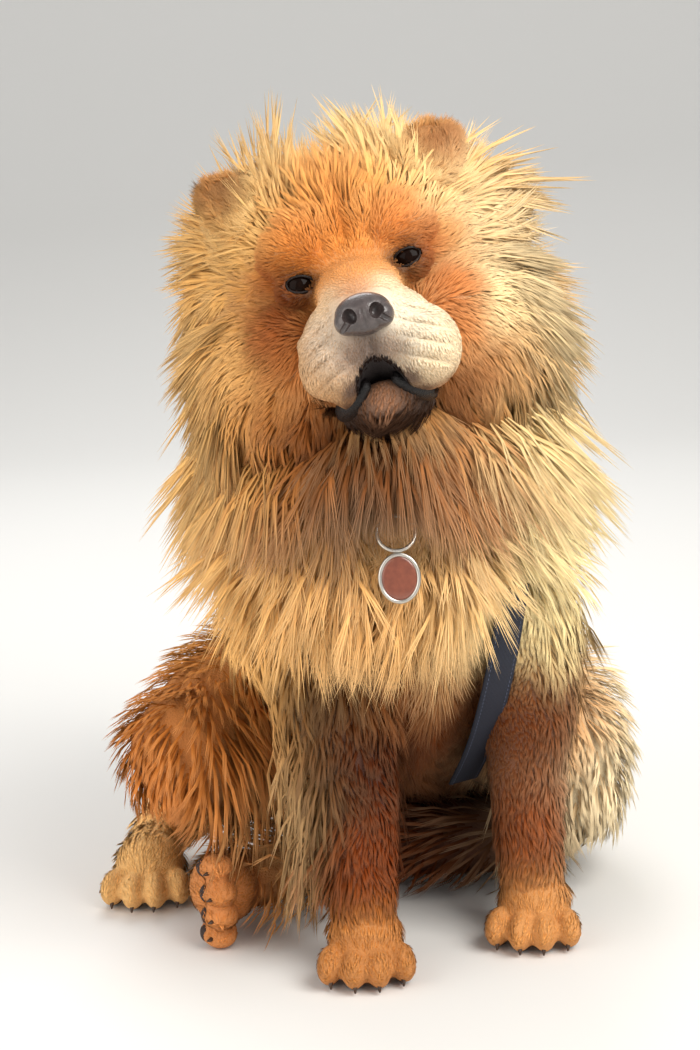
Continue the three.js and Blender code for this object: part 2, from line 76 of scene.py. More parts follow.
# Shapes are worked out in millimetres before centring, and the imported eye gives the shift.
eyeLow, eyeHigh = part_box("eye_right")
shift = (Vector(eyeLow) + Vector(eyeHigh)) / 2 / millimetre - headMatrix @ eyeAt(-1)
placeMatrix = Matrix.Scale(millimetre, 4) @ Matrix.Translation(shift)


def transformed(points, matrix):
    m = np.array(matrix)
    return np.asarray(points, float) @ m[:3, :3].T + m[:3, 3]


def unitSphere(subdivisions):
    bm = bmesh.new()
    bmesh.ops.create_icosphere(bm, subdivisions=subdivisions, radius=1)
    points = np.array([v.co[:] for v in bm.verts])
    faces = [[v.index for v in f.verts] for f in bm.faces]
    bm.free()
    return points, faces


spherePoints, sphereFaces = unitSphere(4)


# An egg shape. A depth draws it in, and a pose places it, such as the head's.
def egg(at, radii, turn=(0, 0, 0), depth=0, pose=None):
    matrix = (Matrix.Translation(at) @ Euler([math.radians(a) for a in turn]).to_matrix().to_4x4()
              @ Matrix.Diagonal([r - depth for r in radii] + [1]))
    if pose is not None:
        matrix = pose @ matrix
    return transformed(spherePoints, matrix), sphereFaces


# A smooth curve through the points, at t from 0 to 1.
def splineAt(points, t):
    points = np.asarray(points, float)
    padded = np.vstack([2 * points[0] - points[1], points, 2 * points[-1] - points[-2]])
    place = min(max(t, 0.0), 1.0) * (len(points) - 1)
    k = min(int(place), len(points) - 2)
    w = place - k
    a, b, c, d = padded[k:k + 4]
    ta, tb = (c - a) / 2, (d - b) / 2
    return ((2 * b - 2 * c + ta + tb) * w ** 3 + (-3 * b + 3 * c - 2 * ta - tb) * w ** 2 + ta * w + b)


def unit(v):
    v = np.asarray(v, float)
    return v / np.maximum(np.linalg.norm(v, axis=-1, keepdims=True), 1e-9)


def tangentAt(points, t):
    return unit(splineAt(points, min(t + 0.01, 1)) - splineAt(points, max(t - 0.01, 0)))


def skinRings(rings, closed=False):
    points = np.vstack(rings)
    n = len(rings[0])
    faces = []
    count = len(rings)
    for k in range(count if closed else count - 1):
        for j in range(n):
            i, m = (j + 1) % n, (k + 1) % count
            faces.append([k * n + j, k * n + i, m * n + i, m * n + j])
    if not closed:
        faces.append(list(range(n))[::-1])
        faces.append([(count - 1) * n + j for j in range(n)])
    return points, faces


# A round-ended limb through stations (x, y, z, half width, half depth).
def limb(stations, across=(1, 0, 0), depth=0, sides=28, steps=20, dome=5, roundness=0.7, pose=None):
    stations = np.asarray(stations, float)
    turns = np.linspace(0, 2 * math.pi, sides, endpoint=False)
    rings = []

    def addRing(t, ahead, share):
        along = tangentAt(stations[:, :3], t)
        wide, deep = splineAt(stations[:, 3:], t)
        side = unit(np.array(across) - along * np.dot(across, along))
        up = np.cross(along, side)
        reach = min(wide, deep) * roundness - depth
        centre = splineAt(stations[:, :3], t) + along * ahead * reach
        rings.append(centre + share * ((wide - depth) * np.outer(np.cos(turns), side)
                                       + (deep - depth) * np.outer(np.sin(turns), up)))

    caps = np.linspace(0.12, math.pi / 2, dome)
    for a in caps:
        addRing(0, -math.cos(a), math.sin(a))
    for t in np.linspace(0, 1, steps)[1:-1]:
        addRing(t, 0, 1)
    for a in caps[::-1]:
        addRing(1, math.cos(a), math.sin(a))
    points, faces = skinRings(rings)
    return (transformed(points, pose) if pose is not None else points), faces


# A closed tube or ribbon along a path, with a section given as (across, out) pairs.
def sweep(path, section, across, closed=False):
    path = np.asarray(path, float)
    ahead = np.roll(path, -1, 0) - np.roll(path, 1, 0) if closed else np.gradient(path, axis=0)
    ahead = unit(ahead)
    across = np.broadcast_to(np.asarray(across, float), path.shape)
    side = unit(across - ahead * np.sum(across * ahead, 1, keepdims=True))
    up = np.cross(ahead, side)
    rings = [p + np.outer(section[:, 0], s) + np.outer(section[:, 1], u) for p, s, u in zip(path, side, up)]
    return skinRings(rings, closed)


def circle(radius, sides):
    a = np.linspace(0, 2 * math.pi, sides, endpoint=False)
    return np.stack([np.cos(a), np.sin(a)], 1) * radius


# A mesh with its faces turned outward and shaded smooth.
def closedMesh(name, points, faces):
    mesh = bpy.data.meshes.new(name)
    mesh.from_pydata(points, [], faces)
    bm = bmesh.new()
    bm.from_mesh(mesh)
    bmesh.ops.recalc_face_normals(bm, faces=bm.faces)
    bm.to_mesh(mesh)
    bm.free()
    shadeSmooth(mesh)
    return mesh


def shadeSmooth(mesh):
    mesh.polygons.foreach_set("use_smooth", [True] * len(mesh.polygons))


def meshFrom(name, shapes):
    points, faces = [], []
    for shapePoints, shapeFaces in shapes:
        start = sum(len(p) for p in points)
        points.append(shapePoints)
        faces.extend([[i + start for i in f] for f in shapeFaces])
    return closedMesh(name, transformed(np.vstack(points), placeMatrix).tolist(), faces)


def linked(name, data):
    thing = bpy.data.objects.new(name, data)
    bpy.context.scene.collection.objects.link(thing)
    return thing


def finishPiece(piece, material, replaces=()):
    piece.data.materials.clear()
    piece.data.materials.append(material)
    shadeSmooth(piece.data)
    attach(piece, "root")
    if replaces:
        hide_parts(*replaces)


def addPiece(name, mesh, material, replaces=()):
    finishPiece(linked(name, mesh), material, replaces)


# Runs modifiers on a piece and keeps the result as its plain mesh.
def applied(piece):
    depsgraph = bpy.context.evaluated_depsgraph_get()
    mesh = bpy.data.meshes.new_from_object(piece.evaluated_get(depsgraph), preserve_all_data_layers=True,
                                           depsgraph=depsgraph)
    piece.modifiers.clear()
    piece.data = mesh
    return mesh


# Melts overlapping shapes into one surface, smooths it and then cuts the cutters out of it.
def fusedPiece(name, shapes, voxel, smoothing, cutters=()):
    piece = linked(name, meshFrom(name, shapes))
    remesh = piece.modifiers.new("Fuse", "REMESH")
    remesh.mode = "VOXEL"
    remesh.voxel_size = voxel * millimetre
    smooth = piece.modifiers.new("Smooth", "SMOOTH")
    smooth.iterations = smoothing
    applied(piece)
    for cutter in cutters:
        other = linked("cutter", meshFrom("cutter", [cutter]))
        cut = piece.modifiers.new("Cut", "BOOLEAN")
        cut.operation = "DIFFERENCE"
        cut.solver = "MANIFOLD"
        cut.object = other
        applied(piece)
        bpy.data.objects.remove(other)
    return piece


def addNode(tree, kind, inputs=None, **settings):
    node = tree.nodes.new(kind)
    for key, value in settings.items():
        setattr(node, key, value)
    for key, value in (inputs or {}).items():
        if isinstance(value, bpy.types.NodeSocket):
            tree.links.new(value, node.inputs[key])
        else:
            node.inputs[key].default_value = value
    return node


def newMaterial(name, values):
    material = bpy.data.materials.new(name)
    material.use_nodes = True
    tree = material.node_tree
    shader = tree.nodes["Principled BSDF"]
    for key, value in values.items():
        shader.inputs[key].default_value = value
    return material, tree, shader


def attribute(tree, name):
    return addNode(tree, "ShaderNodeAttribute", attribute_name=name).outputs


# A mix of two colours, each of them a socket or red, green and blue.
def mixColours(tree, factor, first, second, blend="MIX"):
    node = addNode(tree, "ShaderNodeMix", {"Factor": factor}, data_type="RGBA", blend_type=blend)
    for key, value in (("A", first), ("B", second)):
        if isinstance(value, bpy.types.NodeSocket):
            tree.links.new(value, node.inputs[key])
        else:
            node.inputs[key].default_value = (*value, 1)
    return node.outputs["Result"]


def objectPlace(tree):
    return addNode(tree, "ShaderNodeTexCoord").outputs["Object"]


def noiseOver(tree, place, scale, detail):
    return addNode(tree, "ShaderNodeTexNoise", {"Vector": place, "Scale": scale, "Detail": detail}).outputs[0]


def rangeOver(tree, value, **limits):
    names = {"fromMin": "From Min", "fromMax": "From Max", "toMin": "To Min", "toMax": "To Max"}
    inputs = {"Value": value, **{names[key]: limit for key, limit in limits.items()}}
    return addNode(tree, "ShaderNodeMapRange", inputs).outputs[0]


def addBump(tree, shader, height, strength, distance):
    lift = addNode(tree, "ShaderNodeBump", {"Height": height, "Strength": strength, "Distance": distance})
    tree.links.new(lift.outputs[0], shader.inputs["Normal"])


def colour(red, green, blue):
    return tuple(((c / 255) / 12.92 if c / 255 <= 0.04045 else ((c / 255 + 0.055) / 1.055) ** 2.4)
                 for c in (red, green, blue))


# The body's forms, each station as x, y, z, half width and half depth in millimetres.
neckStations = [(15, 80, 460, 88, 80), (22, 80, 400, 102, 90), (26, 84, 350, 110, 96)]
torsoStations = [(24, 62, 318, 114, 92), (30, 112, 268, 114, 108), (40, 175, 205, 110, 106),
                 (52, 245, 150, 114, 100), (60, 300, 100, 108, 84)]
tailStations = [(62, 350, 165, 27, 27), (64, 398, 225, 30, 28), (62, 404, 290, 32, 28),
                (57, 366, 346, 32, 27), (48, 290, 354, 26, 22)]
legStations = {
    "right": [(-2, 24, 44, 27, 27), (-3, 38, 110, 30, 31), (-14, 52, 190, 42, 42), (-42, 64, 262, 54, 54)],
    "left": [(125, 78, 44, 27, 27), (124, 90, 110, 31, 31), (126, 96, 190, 42, 44), (112, 96, 262, 56, 56)],
}
thighStations = {
    "right": [(-20, 285, 120, 62, 78), (-92, 200, 140, 58, 76), (-138, 122, 138, 46, 50)],
    "left": [(118, 285, 92, 62, 78), (160, 215, 100, 52, 82), (160, 160, 106, 44, 64)],
}
shankStations = {
    "right": [(-112, 226, 92, 40, 38), (-146, 264, 50, 32, 30), (-168, 246, 30, 27, 26),
              (-172, 205, 29, 26, 25)],
    "left": [(110, 190, 40, 34, 34), (20, 196, 34, 32, 32), (-62, 150, 32, 27, 28), (-98, 122, 34, 25, 28)],
}
paws = {
    "front_right": {"at": (-2, 12, 0), "yaw": 0},
    "front_left": {"at": (125, 66, 0), "yaw": -8},
    "hind_right": {"at": (-173, 184, 0), "yaw": -4},
    "hind_left": {"at": (-107, 98, 36), "yaw": 14, "onSide": True},
}
pawWidth = 74
toes = [{"at": (place * pawWidth * 0.235, -15 if abs(place) > 1 else -24, 15),
         "radii": (pawWidth * 0.145, 20, 15.5), "turn": (0, 0, place * 7)}
        for place in (-1.5, -0.5, 0.5, 1.5)]
bothSides = {"right": -1, "left": 1}


def pawMatrix(paw):
    pose = Matrix.Rotation(math.radians(paw["yaw"]), 4, "Z")
    if paw.get("onSide"):
        pose = pose @ Matrix.Rotation(math.radians(90), 4, "Y") @ Matrix.Translation((0, 0, -24))
    return Matrix.Translation(paw["at"]) @ pose


# The collar's inner and outer faces are measured from the neck's form.
collar = {"height": 356, "halfWidth": 12, "inner": -9.5, "outer": -6, "rings": 96, "threads": (50, 480)}

# How deep the skin lies inside each form, which takes in the inner part of the coat.
skin = {
    "voxel": 2.5, "smoothing": 5, "mostTriangles": 110000,
    "depth": {"crown": 7, "nape": 14, "cheek": 9, "brow": 3, "muzzle": 1.5, "neck": 14, "torso": 14,
              "tail": 11, "thigh": 5, "leg": 4, "shank": 4, "paw": 1.5, "ear": 4},
}


def headShapes():
    depth = skin["depth"]
    shapes = [
        egg((0, 62, 16), (84, 84, 62), depth=depth["crown"], pose=headMatrix),
        egg((0, 105, -28), (90, 74, 84), depth=depth["nape"], pose=headMatrix),
        egg((0, -22, -46), (47, 46, 37), depth=depth["muzzle"], pose=headMatrix),
        limb([(0, 30, -2, 36, 26), (0, -20, -14, 30, 22), (0, -58, -34, 22, 15)],
             depth=depth["muzzle"], pose=headMatrix),
    ]
    for s in (-1, 1):
        shapes += [
            egg((s * 52, 45, -45), (54, 56, 60), depth=depth["cheek"], pose=headMatrix),
            egg((s * 30, 6, 27), (34, 27, 22), (0, s * 12, 0), depth["brow"], headMatrix),
            egg((s * 30, -27, -61), (29, 39, 31), (0, s * -8, s * 10), depth["muzzle"], headMatrix),
            egg(eyeAt(s), (16.5, 15, 14), depth=1, pose=headMatrix),
            egg((s * 70, 44, 80), (28, 13, 36), (-8, s * 22, s * 12), depth["ear"], headMatrix),
        ]
    return shapes


def bodyShapes():
    depth = skin["depth"]
    shapes = [limb(neckStations, depth=depth["neck"]), limb(torsoStations, depth=depth["torso"]),
              limb(tailStations, depth=depth["tail"], steps=40)]
    for side in bothSides:
        shapes += [limb(legStations[side], depth=depth["leg"]),
                   limb(thighStations[side], depth=depth["thigh"]),
                   limb(shankStations[side], (0, 0, 1), depth["shank"])]
    for paw in paws.values():
        pose = pawMatrix(paw)
        shapes.append(egg((0, 10, 25), (29, 32, 28), depth=depth["paw"], pose=pose))
        shapes += [egg(t["at"], t["radii"], t["turn"], depth["paw"], pose) for t in toes]
    return shapes


# Rises smoothly from 0 at the start to 1 at the end, which may be the lower of the two.
def softStep(value, start, end):
    t = np.clip((value - start) / (end - start), 0, 1)
    return t * t * (3 - 2 * t)


# 1 at the centre, and dying away over the spread.
def bump(value, centre, spread):
    return np.exp(-((value - centre) / spread) ** 2)


# A mesh's points in the model's own millimetres.
def modelPoints(mesh):
    flat = np.empty(len(mesh.vertices) * 3)
    mesh.vertices.foreach_get("co", flat)
    return transformed(flat.reshape(-1, 3), placeMatrix.inverted())


def setModelPoints(mesh, points):
    mesh.vertices.foreach_set("co", transformed(points, placeMatrix).ravel())
    mesh.update()


def vertexNormals(mesh):
    flat = np.empty(len(mesh.vertices) * 3)
    mesh.vertex_normals.foreach_get("vector", flat)
    return flat.reshape(-1, 3)


# Spaces around each ear, as a middle and three reaches, and the cup inside it, which has only two.
earSpaces = {
    "hair": ((70, 44, 84), (30, 17, 38)),
    "beside": ((70, 48, 72), (44, 44, 44)),
    "deepTips": ((70, 40, 86), (26, 22, 30)),
}
earCup = {"middle": (69, 78), "pressed": (16, 24), "shortHair": (14, 21)}


# Where a point is in one of these spaces: 0 in the middle and 1 at the edge, and the same on both sides.
def earSpace(name, x, y, z):
    middle, reach = earSpaces[name]
    return (((np.abs(x) - middle[0]) / reach[0]) ** 2 + ((y - middle[1]) / reach[1]) ** 2
            + ((z - middle[2]) / reach[2]) ** 2)


def cupSpace(name, x, z):
    middle, reach = earCup["middle"], earCup[name]
    return ((x - middle[0]) / reach[0]) ** 2 + ((z - middle[1]) / reach[1]) ** 2


# Folds, eye sockets, mouth arch and ear cups are pressed into the fused skin, in the head's frame.
flewFolds = (-24, -34, -45, -57)
foldWidths = {"frown": 4.5, "browCrease": 3.5, "flewCrease": 1.9, "philtrum": 2.5}
folds = {"frown": 4.5, "browCrease": 3, "flewCrease": 4.5, "philtrum": 3, "earCup": 5, "earDrop": 0.36,
         "rightFlew": 7}
eyeSlit = {"halfWidth": 9.6, "halfHeight": 6.5}
mouth = {"halfWidth": 17, "halfHeight": 28, "middle": -92, "depth": 26, "front": -8}


# Where a point is across the open mouth's arch, which ends at 1.
def mouthShare(x, z, margin=0):
    return ((x / (mouth["halfWidth"] + margin)) ** 2
            + ((z - mouth["middle"]) / (mouth["halfHeight"] + margin)) ** 2)


def pressFace(points):
    local = transformed(points, headInverse)
    x, y, z = local.T.copy()
    # The ears are low in the hair, and the flew on the dog's right is the smaller.
    z -= folds["earDrop"] * (z - 70) * softStep(np.abs(x), 36, 54) * softStep(z, 68, 92)
    flew = softStep(-x, 22, 44) * softStep(z, -34, -52) * softStep(y, 0, -16)
    x += folds["rightFlew"] * flew
    z += folds["rightFlew"] * 0.8 * flew * softStep(z, -66, -90)
    front = softStep(y, 25, 5)
    browWidth = foldWidths["browCrease"]
    y += front * folds["frown"] * bump(x, 0, foldWidths["frown"]) * softStep(z, 12, 24) * softStep(z, 66, 48)
    for s in (-1, 1):
        y += front * folds["browCrease"] * bump(s * x - 0.35 * (z - 20), 16, browWidth) * bump(z, 30, 14)
        y += front * folds["browCrease"] * bump(z + 0.25 * s * x, 30, browWidth) * bump(s * x, 45, 14)
        for place in flewFolds:
            crease = bump(z + 0.45 * s * x, place, foldWidths["flewCrease"])
            crease = crease * bump(s * x, 36, 13) * softStep(y, 8, -14)
            y += folds["flewCrease"] * crease
        u, v = s * x - headPose["eyeSpacing"] / 2 + 1, z - 2
        slit = (u / eyeSlit["halfWidth"]) ** 2 + (v / eyeSlit["halfHeight"]) ** 2
        ball = 3 - np.sqrt(np.clip(eyeSlit["halfWidth"] ** 2 - u ** 2 - v ** 2, 1, None))
        inside = (slit < 1.12) & (y < 12)
        y[inside] = np.maximum(y[inside], ball[inside])
        cup = cupSpace("pressed", s * x, z)
        inCup = (cup < 1) & (y < 44) & (y > 20) & (z > 48)
        y[inCup] += folds["earCup"] * np.sqrt(1 - cup[inCup])
    groove = bump(x, 0, foldWidths["philtrum"]) * softStep(z, -44, -50) * softStep(y, -30, -50)
    y += folds["philtrum"] * groove
    arch = mouthShare(x, z)
    inArch = (arch < 1) & (y < mouth["front"])
    y[inArch] += mouth["depth"] * np.sqrt(1 - arch[inArch])
    return transformed(np.stack([x, y, z], 1), headMatrix)


def makeSkin():
    piece = fusedPiece("skin", headShapes() + bodyShapes(), skin["voxel"], skin["smoothing"])
    # The face keeps its fine faces, and the body under the long coat is thinned out.
    face = transformed(modelPoints(piece.data), headInverse)
    body = piece.vertex_groups.new(name="body")
    body.add(np.nonzero((face[:, 1] > 48) | (face[:, 2] < -115))[0].tolist(), 1.0, "REPLACE")
    count = sum(len(p.vertices) - 2 for p in piece.data.polygons)
    thin = piece.modifiers.new("Thin", "DECIMATE")
    thin.ratio = min(1.0, skin["mostTriangles"] / count)
    thin.vertex_group = "body"
    applied(piece)
    piece.vertex_groups.clear()
    points = pressFace(modelPoints(piece.data))
    points[:, 2] = np.maximum(points[:, 2], 0.8)
    setModelPoints(piece.data, points)
    shadeSmooth(piece.data)
    print("skin", count, "->", len(piece.data.polygons), "faces")
    return piece


# How long the coat is in millimetres, how far it stands off and how wide its tufts are, part by part.
coat = {
    "neck": {"length": 60, "stand": 1.25, "width": 2.2},
    "torso": {"length": 48, "stand": 0.85, "width": 2.4},
    "tail": {"length": 52, "stand": 0.75, "width": 2.5},
    "thigh": {"length": 25, "stand": 0.95, "width": 2.3},
    "leg": {"length": 15, "stand": 0.35, "width": 1.5},
    "shank": {"length": 16, "stand": 0.4, "width": 1.6},
    "paw": {"length": 7.5, "stand": 0.2, "width": 0.9},
    "head": {"length": 62, "stand": 1.4, "width": 2.2},
}
tagCentre = (32, -35, 306)
strapPath = [(113, 14, 284), (108, 29, 246), (104, 36, 222), (99, 50, 194), (93, 73, 162), (86, 97, 134),
             (78, 122, 108)]

# Markings: colour and the place that it is strongest, in the head's frame or the body's, with its spread.
# Besides the coat's own colour, most marks on the dog's left are paler than their twins on its right, and a
# few dark ones
# stand on its right alone: painted light on the lit side and painted shade on the other.
headMarksAndPaintedLight = [
    # The two narrow dark marks down the middle of the brow, at heights 26 and 42, are painted shade in the
    # frown's crease.
    ((0, 22, 58), 18, (232, 148, 62)), ((0, 10, 42), 8, (178, 88, 24)), ((0, 2, 26), 8, (176, 84, 22)),
    ((-19, 14, 44), 12, (240, 156, 70)), ((20, 12, 40), 12, (250, 172, 84)),
    ((0, 36, 74), 20, (248, 190, 112)), ((0, 14, 30), 16, (212, 116, 38)),
    ((0, 46, 88), 34, (255, 230, 168)), ((-42, 40, 62), 21, (252, 204, 132)),
    ((42, 40, 62), 21, (252, 210, 142)), ((-30, 0, 24), 12, (212, 116, 40)),
    ((32, 0, 25), 11, (206, 106, 34)), ((0, 2, 20), 10, (222, 126, 42)), ((-38, -8, 2), 8, (44, 20, 10)),
    ((38, -8, 2), 8, (60, 26, 12)), ((-27, -10, -3), 5, (70, 30, 14)), ((27, -10, -3), 5, (80, 36, 16)),
    ((-50, 0, -2), 10, (84, 34, 14)), ((49, 0, -1), 8, (120, 54, 20)), ((-56, 2, -12), 13, (132, 56, 20)),
    ((-54, 4, 12), 10, (150, 70, 26)), ((55, 3, 8), 10, (168, 82, 28)), ((-62, 8, -26), 17, (138, 58, 18)),
    ((60, 8, -26), 14, (196, 104, 38)), ((-50, -2, -46), 11, (190, 110, 50)),
    ((52, -2, -50), 11, (204, 122, 58)), ((-74, 16, 6), 14, (170, 86, 30)),
    ((72, 16, 10), 14, (206, 128, 56)), ((0, -25, -12), 15, (232, 158, 92)),
    ((0, -48, -28), 9, (206, 142, 96)), ((-20, -42, -26), 9, (250, 214, 170)),
    ((20, -42, -26), 9, (255, 226, 184)), ((-22, -50, -42), 13, (222, 200, 176)),
    ((22, -50, -42), 13, (255, 240, 214)), ((-38, -30, -55), 16, (222, 178, 132)),
    ((38, -30, -55), 16, (255, 230, 190)), ((0, -64, -56), 8, (92, 76, 70)),
    ((-13, -61, -58), 7, (140, 118, 104)), ((13, -61, -58), 7, (146, 124, 108)),
    ((-50, -10, -60), 10, (216, 150, 92)), ((50, -10, -62), 10, (226, 160, 100)),
    ((-40, -16, -86), 9, (170, 110, 66)), ((40, -16, -86), 9, (180, 120, 74)),
    ((-18, -50, -80), 4, (104, 84, 74)), ((18, -50, -80), 4, (104, 84, 74)),
    ((-25, -38, -91), 4, (96, 70, 56)), ((25, -38, -91), 4, (96, 70, 56)),
    ((0, -10, -116), 24, (84, 38, 16)), ((0, 10, -134), 22, (120, 58, 22)),
    ((-56, 10, -98), 19, (136, 64, 24)), ((56, 10, -98), 19, (142, 70, 28)),
    ((-30, 0, -118), 18, (110, 50, 20)), ((30, 0, -118), 18, (116, 54, 22)),
    ((-88, 34, -36), 22, (244, 184, 112)), ((88, 34, -36), 22, (255, 222, 164)),
    ((-92, 36, -72), 17, (186, 112, 54)), ((90, 36, -66), 16, (206, 146, 86)),
    ((-70, 24, -70), 14, (190, 118, 56)), ((72, 24, -72), 14, (176, 104, 52)),
    ((-110, 60, 0), 40, (255, 200, 120)), ((110, 60, 0), 40, (255, 232, 184)),
    ((-80, 45, -105), 24, (206, 136, 72)), ((80, 45, -105), 24, (222, 158, 92)),
    ((-69, 36, 80), 17, (104, 40, 10)), ((69, 36, 80), 17, (140, 64, 20)),
    ((-72, 56, 104), 13, (228, 160, 96)), ((72, 56, 104), 13, (244, 186, 120)),
    ((0, 120, 20), 60, (236, 176, 100)), ((0, 150, -40), 60, (236, 184, 112)),
]
bodyMarksAndPaintedLight = [
    ((15, -20, 392), 34, (84, 32, 8)), ((-40, 0, 390), 24, (176, 96, 42)),
    # The three marks at a height of 345 make a darker band under the ruff's ends: painted shadow.
    ((70, 0, 385), 24, (190, 110, 52)), ((20, -30, 345), 22, (150, 80, 36)),
    ((-50, -20, 345), 22, (190, 116, 60)), ((85, -10, 345), 20, (196, 124, 68)),
    ((-100, 20, 360), 50, (255, 202, 124)), ((140, 30, 360), 50, (255, 232, 172)),
    ((20, -10, 290), 40, (252, 196, 124)), ((-90, 40, 290), 45, (255, 194, 116)),
    ((140, 50, 290), 45, (255, 230, 168)), ((30, 20, 225), 26, (140, 72, 26)),
    ((40, 70, 170), 40, (104, 48, 16)), ((60, 180, 60), 60, (96, 46, 18)),
    ((-20, 20, 230), 24, (50, 17, 3)), ((-4, 30, 160), 30, (66, 23, 5)), ((-2, 20, 90), 26, (122, 54, 17)),
    ((-2, 0, 20), 26, (204, 134, 70)), ((125, 70, 180), 32, (108, 48, 13)),
    ((125, 62, 90), 26, (134, 64, 22)), ((-60, 140, 50), 26, (248, 190, 124)),
    ((-72, 112, 92), 24, (246, 190, 126)), ((-58, 118, 126), 20, (240, 182, 116)),
    ((125, 50, 20), 26, (222, 152, 84)), ((-42, 52, 150), 21, (255, 212, 150)),
    ((-40, 46, 100), 19, (255, 206, 146)), ((-50, 80, 160), 26, (244, 186, 118)),
    ((-52, 92, 100), 24, (240, 178, 110)), ((-165, 110, 150), 40, (206, 122, 54)),
    ((-140, 110, 190), 34, (214, 136, 64)), ((-90, 190, 200), 46, (226, 150, 72)),
    ((-173, 180, 36), 40, (255, 198, 124)), ((-107, 98, 36), 36, (226, 144, 78)),
    ((0, 180, 36), 50, (100, 48, 18)), ((200, 180, 110), 60, (255, 234, 190)),
    ((160, 150, 170), 34, (222, 150, 78)), ((40, 200, 320), 80, (232, 168, 96)),
    ((50, 300, 230), 80, (234, 174, 106)), ((60, 360, 120), 60, (240, 196, 134)),
    ((60, 400, 260), 60, (252, 228, 180)), ((50, 300, 370), 50, (252, 232, 190)),
]


# Each mark colours the coat around it, and they blend where they meet.
def blendMarks(points, marks):
    total = np.full(len(points), 1e-12)
    mixed = np.zeros((len(points), 3))
    for place, spread, shade in marks:
        distance = np.linalg.norm(points - np.array(place), axis=1)
        weight = np.exp(-(distance / spread) ** 1.6) + 1e-9 / (distance + 1)
        total += weight
        mixed += weight[:, None] * np.array(colour(*shade))
    return mixed / total[:, None]


def limbSamples(stations, count=16):
    stations = np.asarray(stations, float)
    places = np.linspace(0, 1, count)
    centres = np.array([splineAt(stations[:, :3], t) for t in places])
    girths = np.array([splineAt(stations[:, 3:], t).mean() for t in places])
    tangents = np.array([tangentAt(stations[:, :3], t) for t in places])
    return centres, girths, tangents


# How near each vertex is to a limb, in radii, and the limb's direction there.
def nearLimb(points, stations):
    centres, girths, tangents = limbSamples(stations)
    ratios = np.linalg.norm(points[:, None] - centres[None], axis=2) / girths
    best = ratios.argmin(1)
    return ratios.min(1), tangents[best]


# Evens a field out over the skin, by averaging each vertex with its neighbours.
def smoothField(mesh, field, rounds):
    edges = np.empty(len(mesh.edges) * 2, int)
    mesh.edges.foreach_get("vertices", edges)
    a, b = edges.reshape(-1, 2).T
    counts = np.bincount(np.concatenate([a, b]), minlength=len(field))[:, None] + 1
    for _ in range(rounds):
        total = field.copy()
        np.add.at(total, a, field[b])
        np.add.at(total, b, field[a])
        field = total / counts
    return field


def distanceToPath(points, path):
    path = np.array([splineAt(path, t) for t in np.linspace(0, 1, 30)])
    return np.linalg.norm(points[:, None] - path[None], axis=2).min(1)


# The head's and the paws' zones, each a middle and a reach, with the muzzle's tip that hair leads away from.
zones = {"skull": ((0, 45, -15), 98), "muzzle": ((0, -25, -40), 62), "paw": ((0, -8, 18), 36)}
muzzleTip = (0, -62, -26)


# For each vertex of the skin: which part of the body it is on, which way its hair lies and how it grows.
def coatFields(mesh):
    points, normals = modelPoints(mesh), vertexNormals(mesh)
    local = transformed(points, headInverse)
    down = np.array([0, 0, -1.0])
    near, lies, kinds = [], [], []

    def addZone(kind, ratio, lie):
        near.append(ratio)
        lies.append(unit(np.broadcast_to(lie, points.shape)))
        kinds.append(kind)

    ratio, along = nearLimb(points, neckStations)
    outward = unit((points - np.array([22, 80, 0])) * np.array([1, 1, 0]))
    addZone("neck", ratio, along + 0.25 * outward)
    ratio, along = nearLimb(points, torsoStations)
    frontness = softStep(-normals[:, 1], 0.1, 0.8)[:, None]
    addZone("torso", ratio, along * (1 - 0.8 * frontness) + down * (0.5 + frontness))
    ratio, along = nearLimb(points, tailStations)
    addZone("tail", ratio, along + 0.8 * down * softStep(points[:, 2:], 270, 330))
    for side in bothSides:
        ratio, along = nearLimb(points, legStations[side])
        addZone("leg", ratio, down + 0.25 * normals)
        ratio, along = nearLimb(points, thighStations[side])
        addZone("thigh", ratio, 0.35 * along + 0.9 * down + 0.2 * normals)
        ratio, along = nearLimb(points, shankStations[side])
        addZone("shank", ratio, along + 0.5 * down)
    for paw in paws.values():
        pose = pawMatrix(paw)
        middle, reach = zones["paw"]
        ahead = np.array(pose.to_3x3() @ Vector((0, -1, -0.25)))
        addZone("paw", np.linalg.norm(points - np.array(pose @ Vector(middle)), axis=1) / reach, ahead)
    away = transformed(local - np.array(muzzleTip), Matrix(headMatrix.to_3x3()).to_4x4())
    headRatio, muzzleRatio = (np.linalg.norm(local - np.array(zones[name][0]), axis=1) / zones[name][1]
                              for name in ("skull", "muzzle"))
    drop = softStep(local[:, 2], -20, -90)[:, None]
    high = softStep(local[:, 2], -10, 40)[:, None]
    addZone("head", np.minimum(headRatio, muzzleRatio), unit(away) + down * (0.2 * (1 - high) + 0.5 * drop))

    near = np.array(near).T
    weights = np.exp(-9 * (near - near.min(1, keepdims=True)))
    weights /= weights.sum(1, keepdims=True)
    lie = sum(weights[:, i:i + 1] * lies[i] for i in range(len(kinds)))
    lie = smoothField(mesh, lie, 6)
    lie = lie - normals * np.sum(lie * normals, 1, keepdims=True)
    weak = np.linalg.norm(lie, axis=1) < 0.12
    lie[weak] += 0.3 * np.cross(normals[weak], (1.0, 0.0, 0.0))
    lie = unit(lie)
    fields = {key: sum(weights[:, i] * coat[kind][key] for i, kind in enumerate(kinds))
              for key in ("length", "stand", "width")}
    share = {kind: sum(weights[:, i] for i, k in enumerate(kinds) if k == kind)
             for kind in dict.fromkeys(kinds)}
    return points, normals, local, lie, fields, share


# The coat is short on the muzzle, and each of the next three adds to it. The ears have a coat of their own.
headCoat = {
    "muzzle": {"length": 4.2, "stand": 0.14, "width": 0.8},
    "cheek": {"length": 8, "stand": 0.2, "width": 0.3},
    "crown": {"length": 30, "stand": 0.65, "width": 0.8},
    "ruff": {"length": 54, "stand": 1.0, "width": 1.2},
    "ear": {"length": 10, "stand": 0.45, "width": 1.3},
    "earCup": 8, "underChin": 30, "besideEar": 12, "eyelid": 0.55,
}


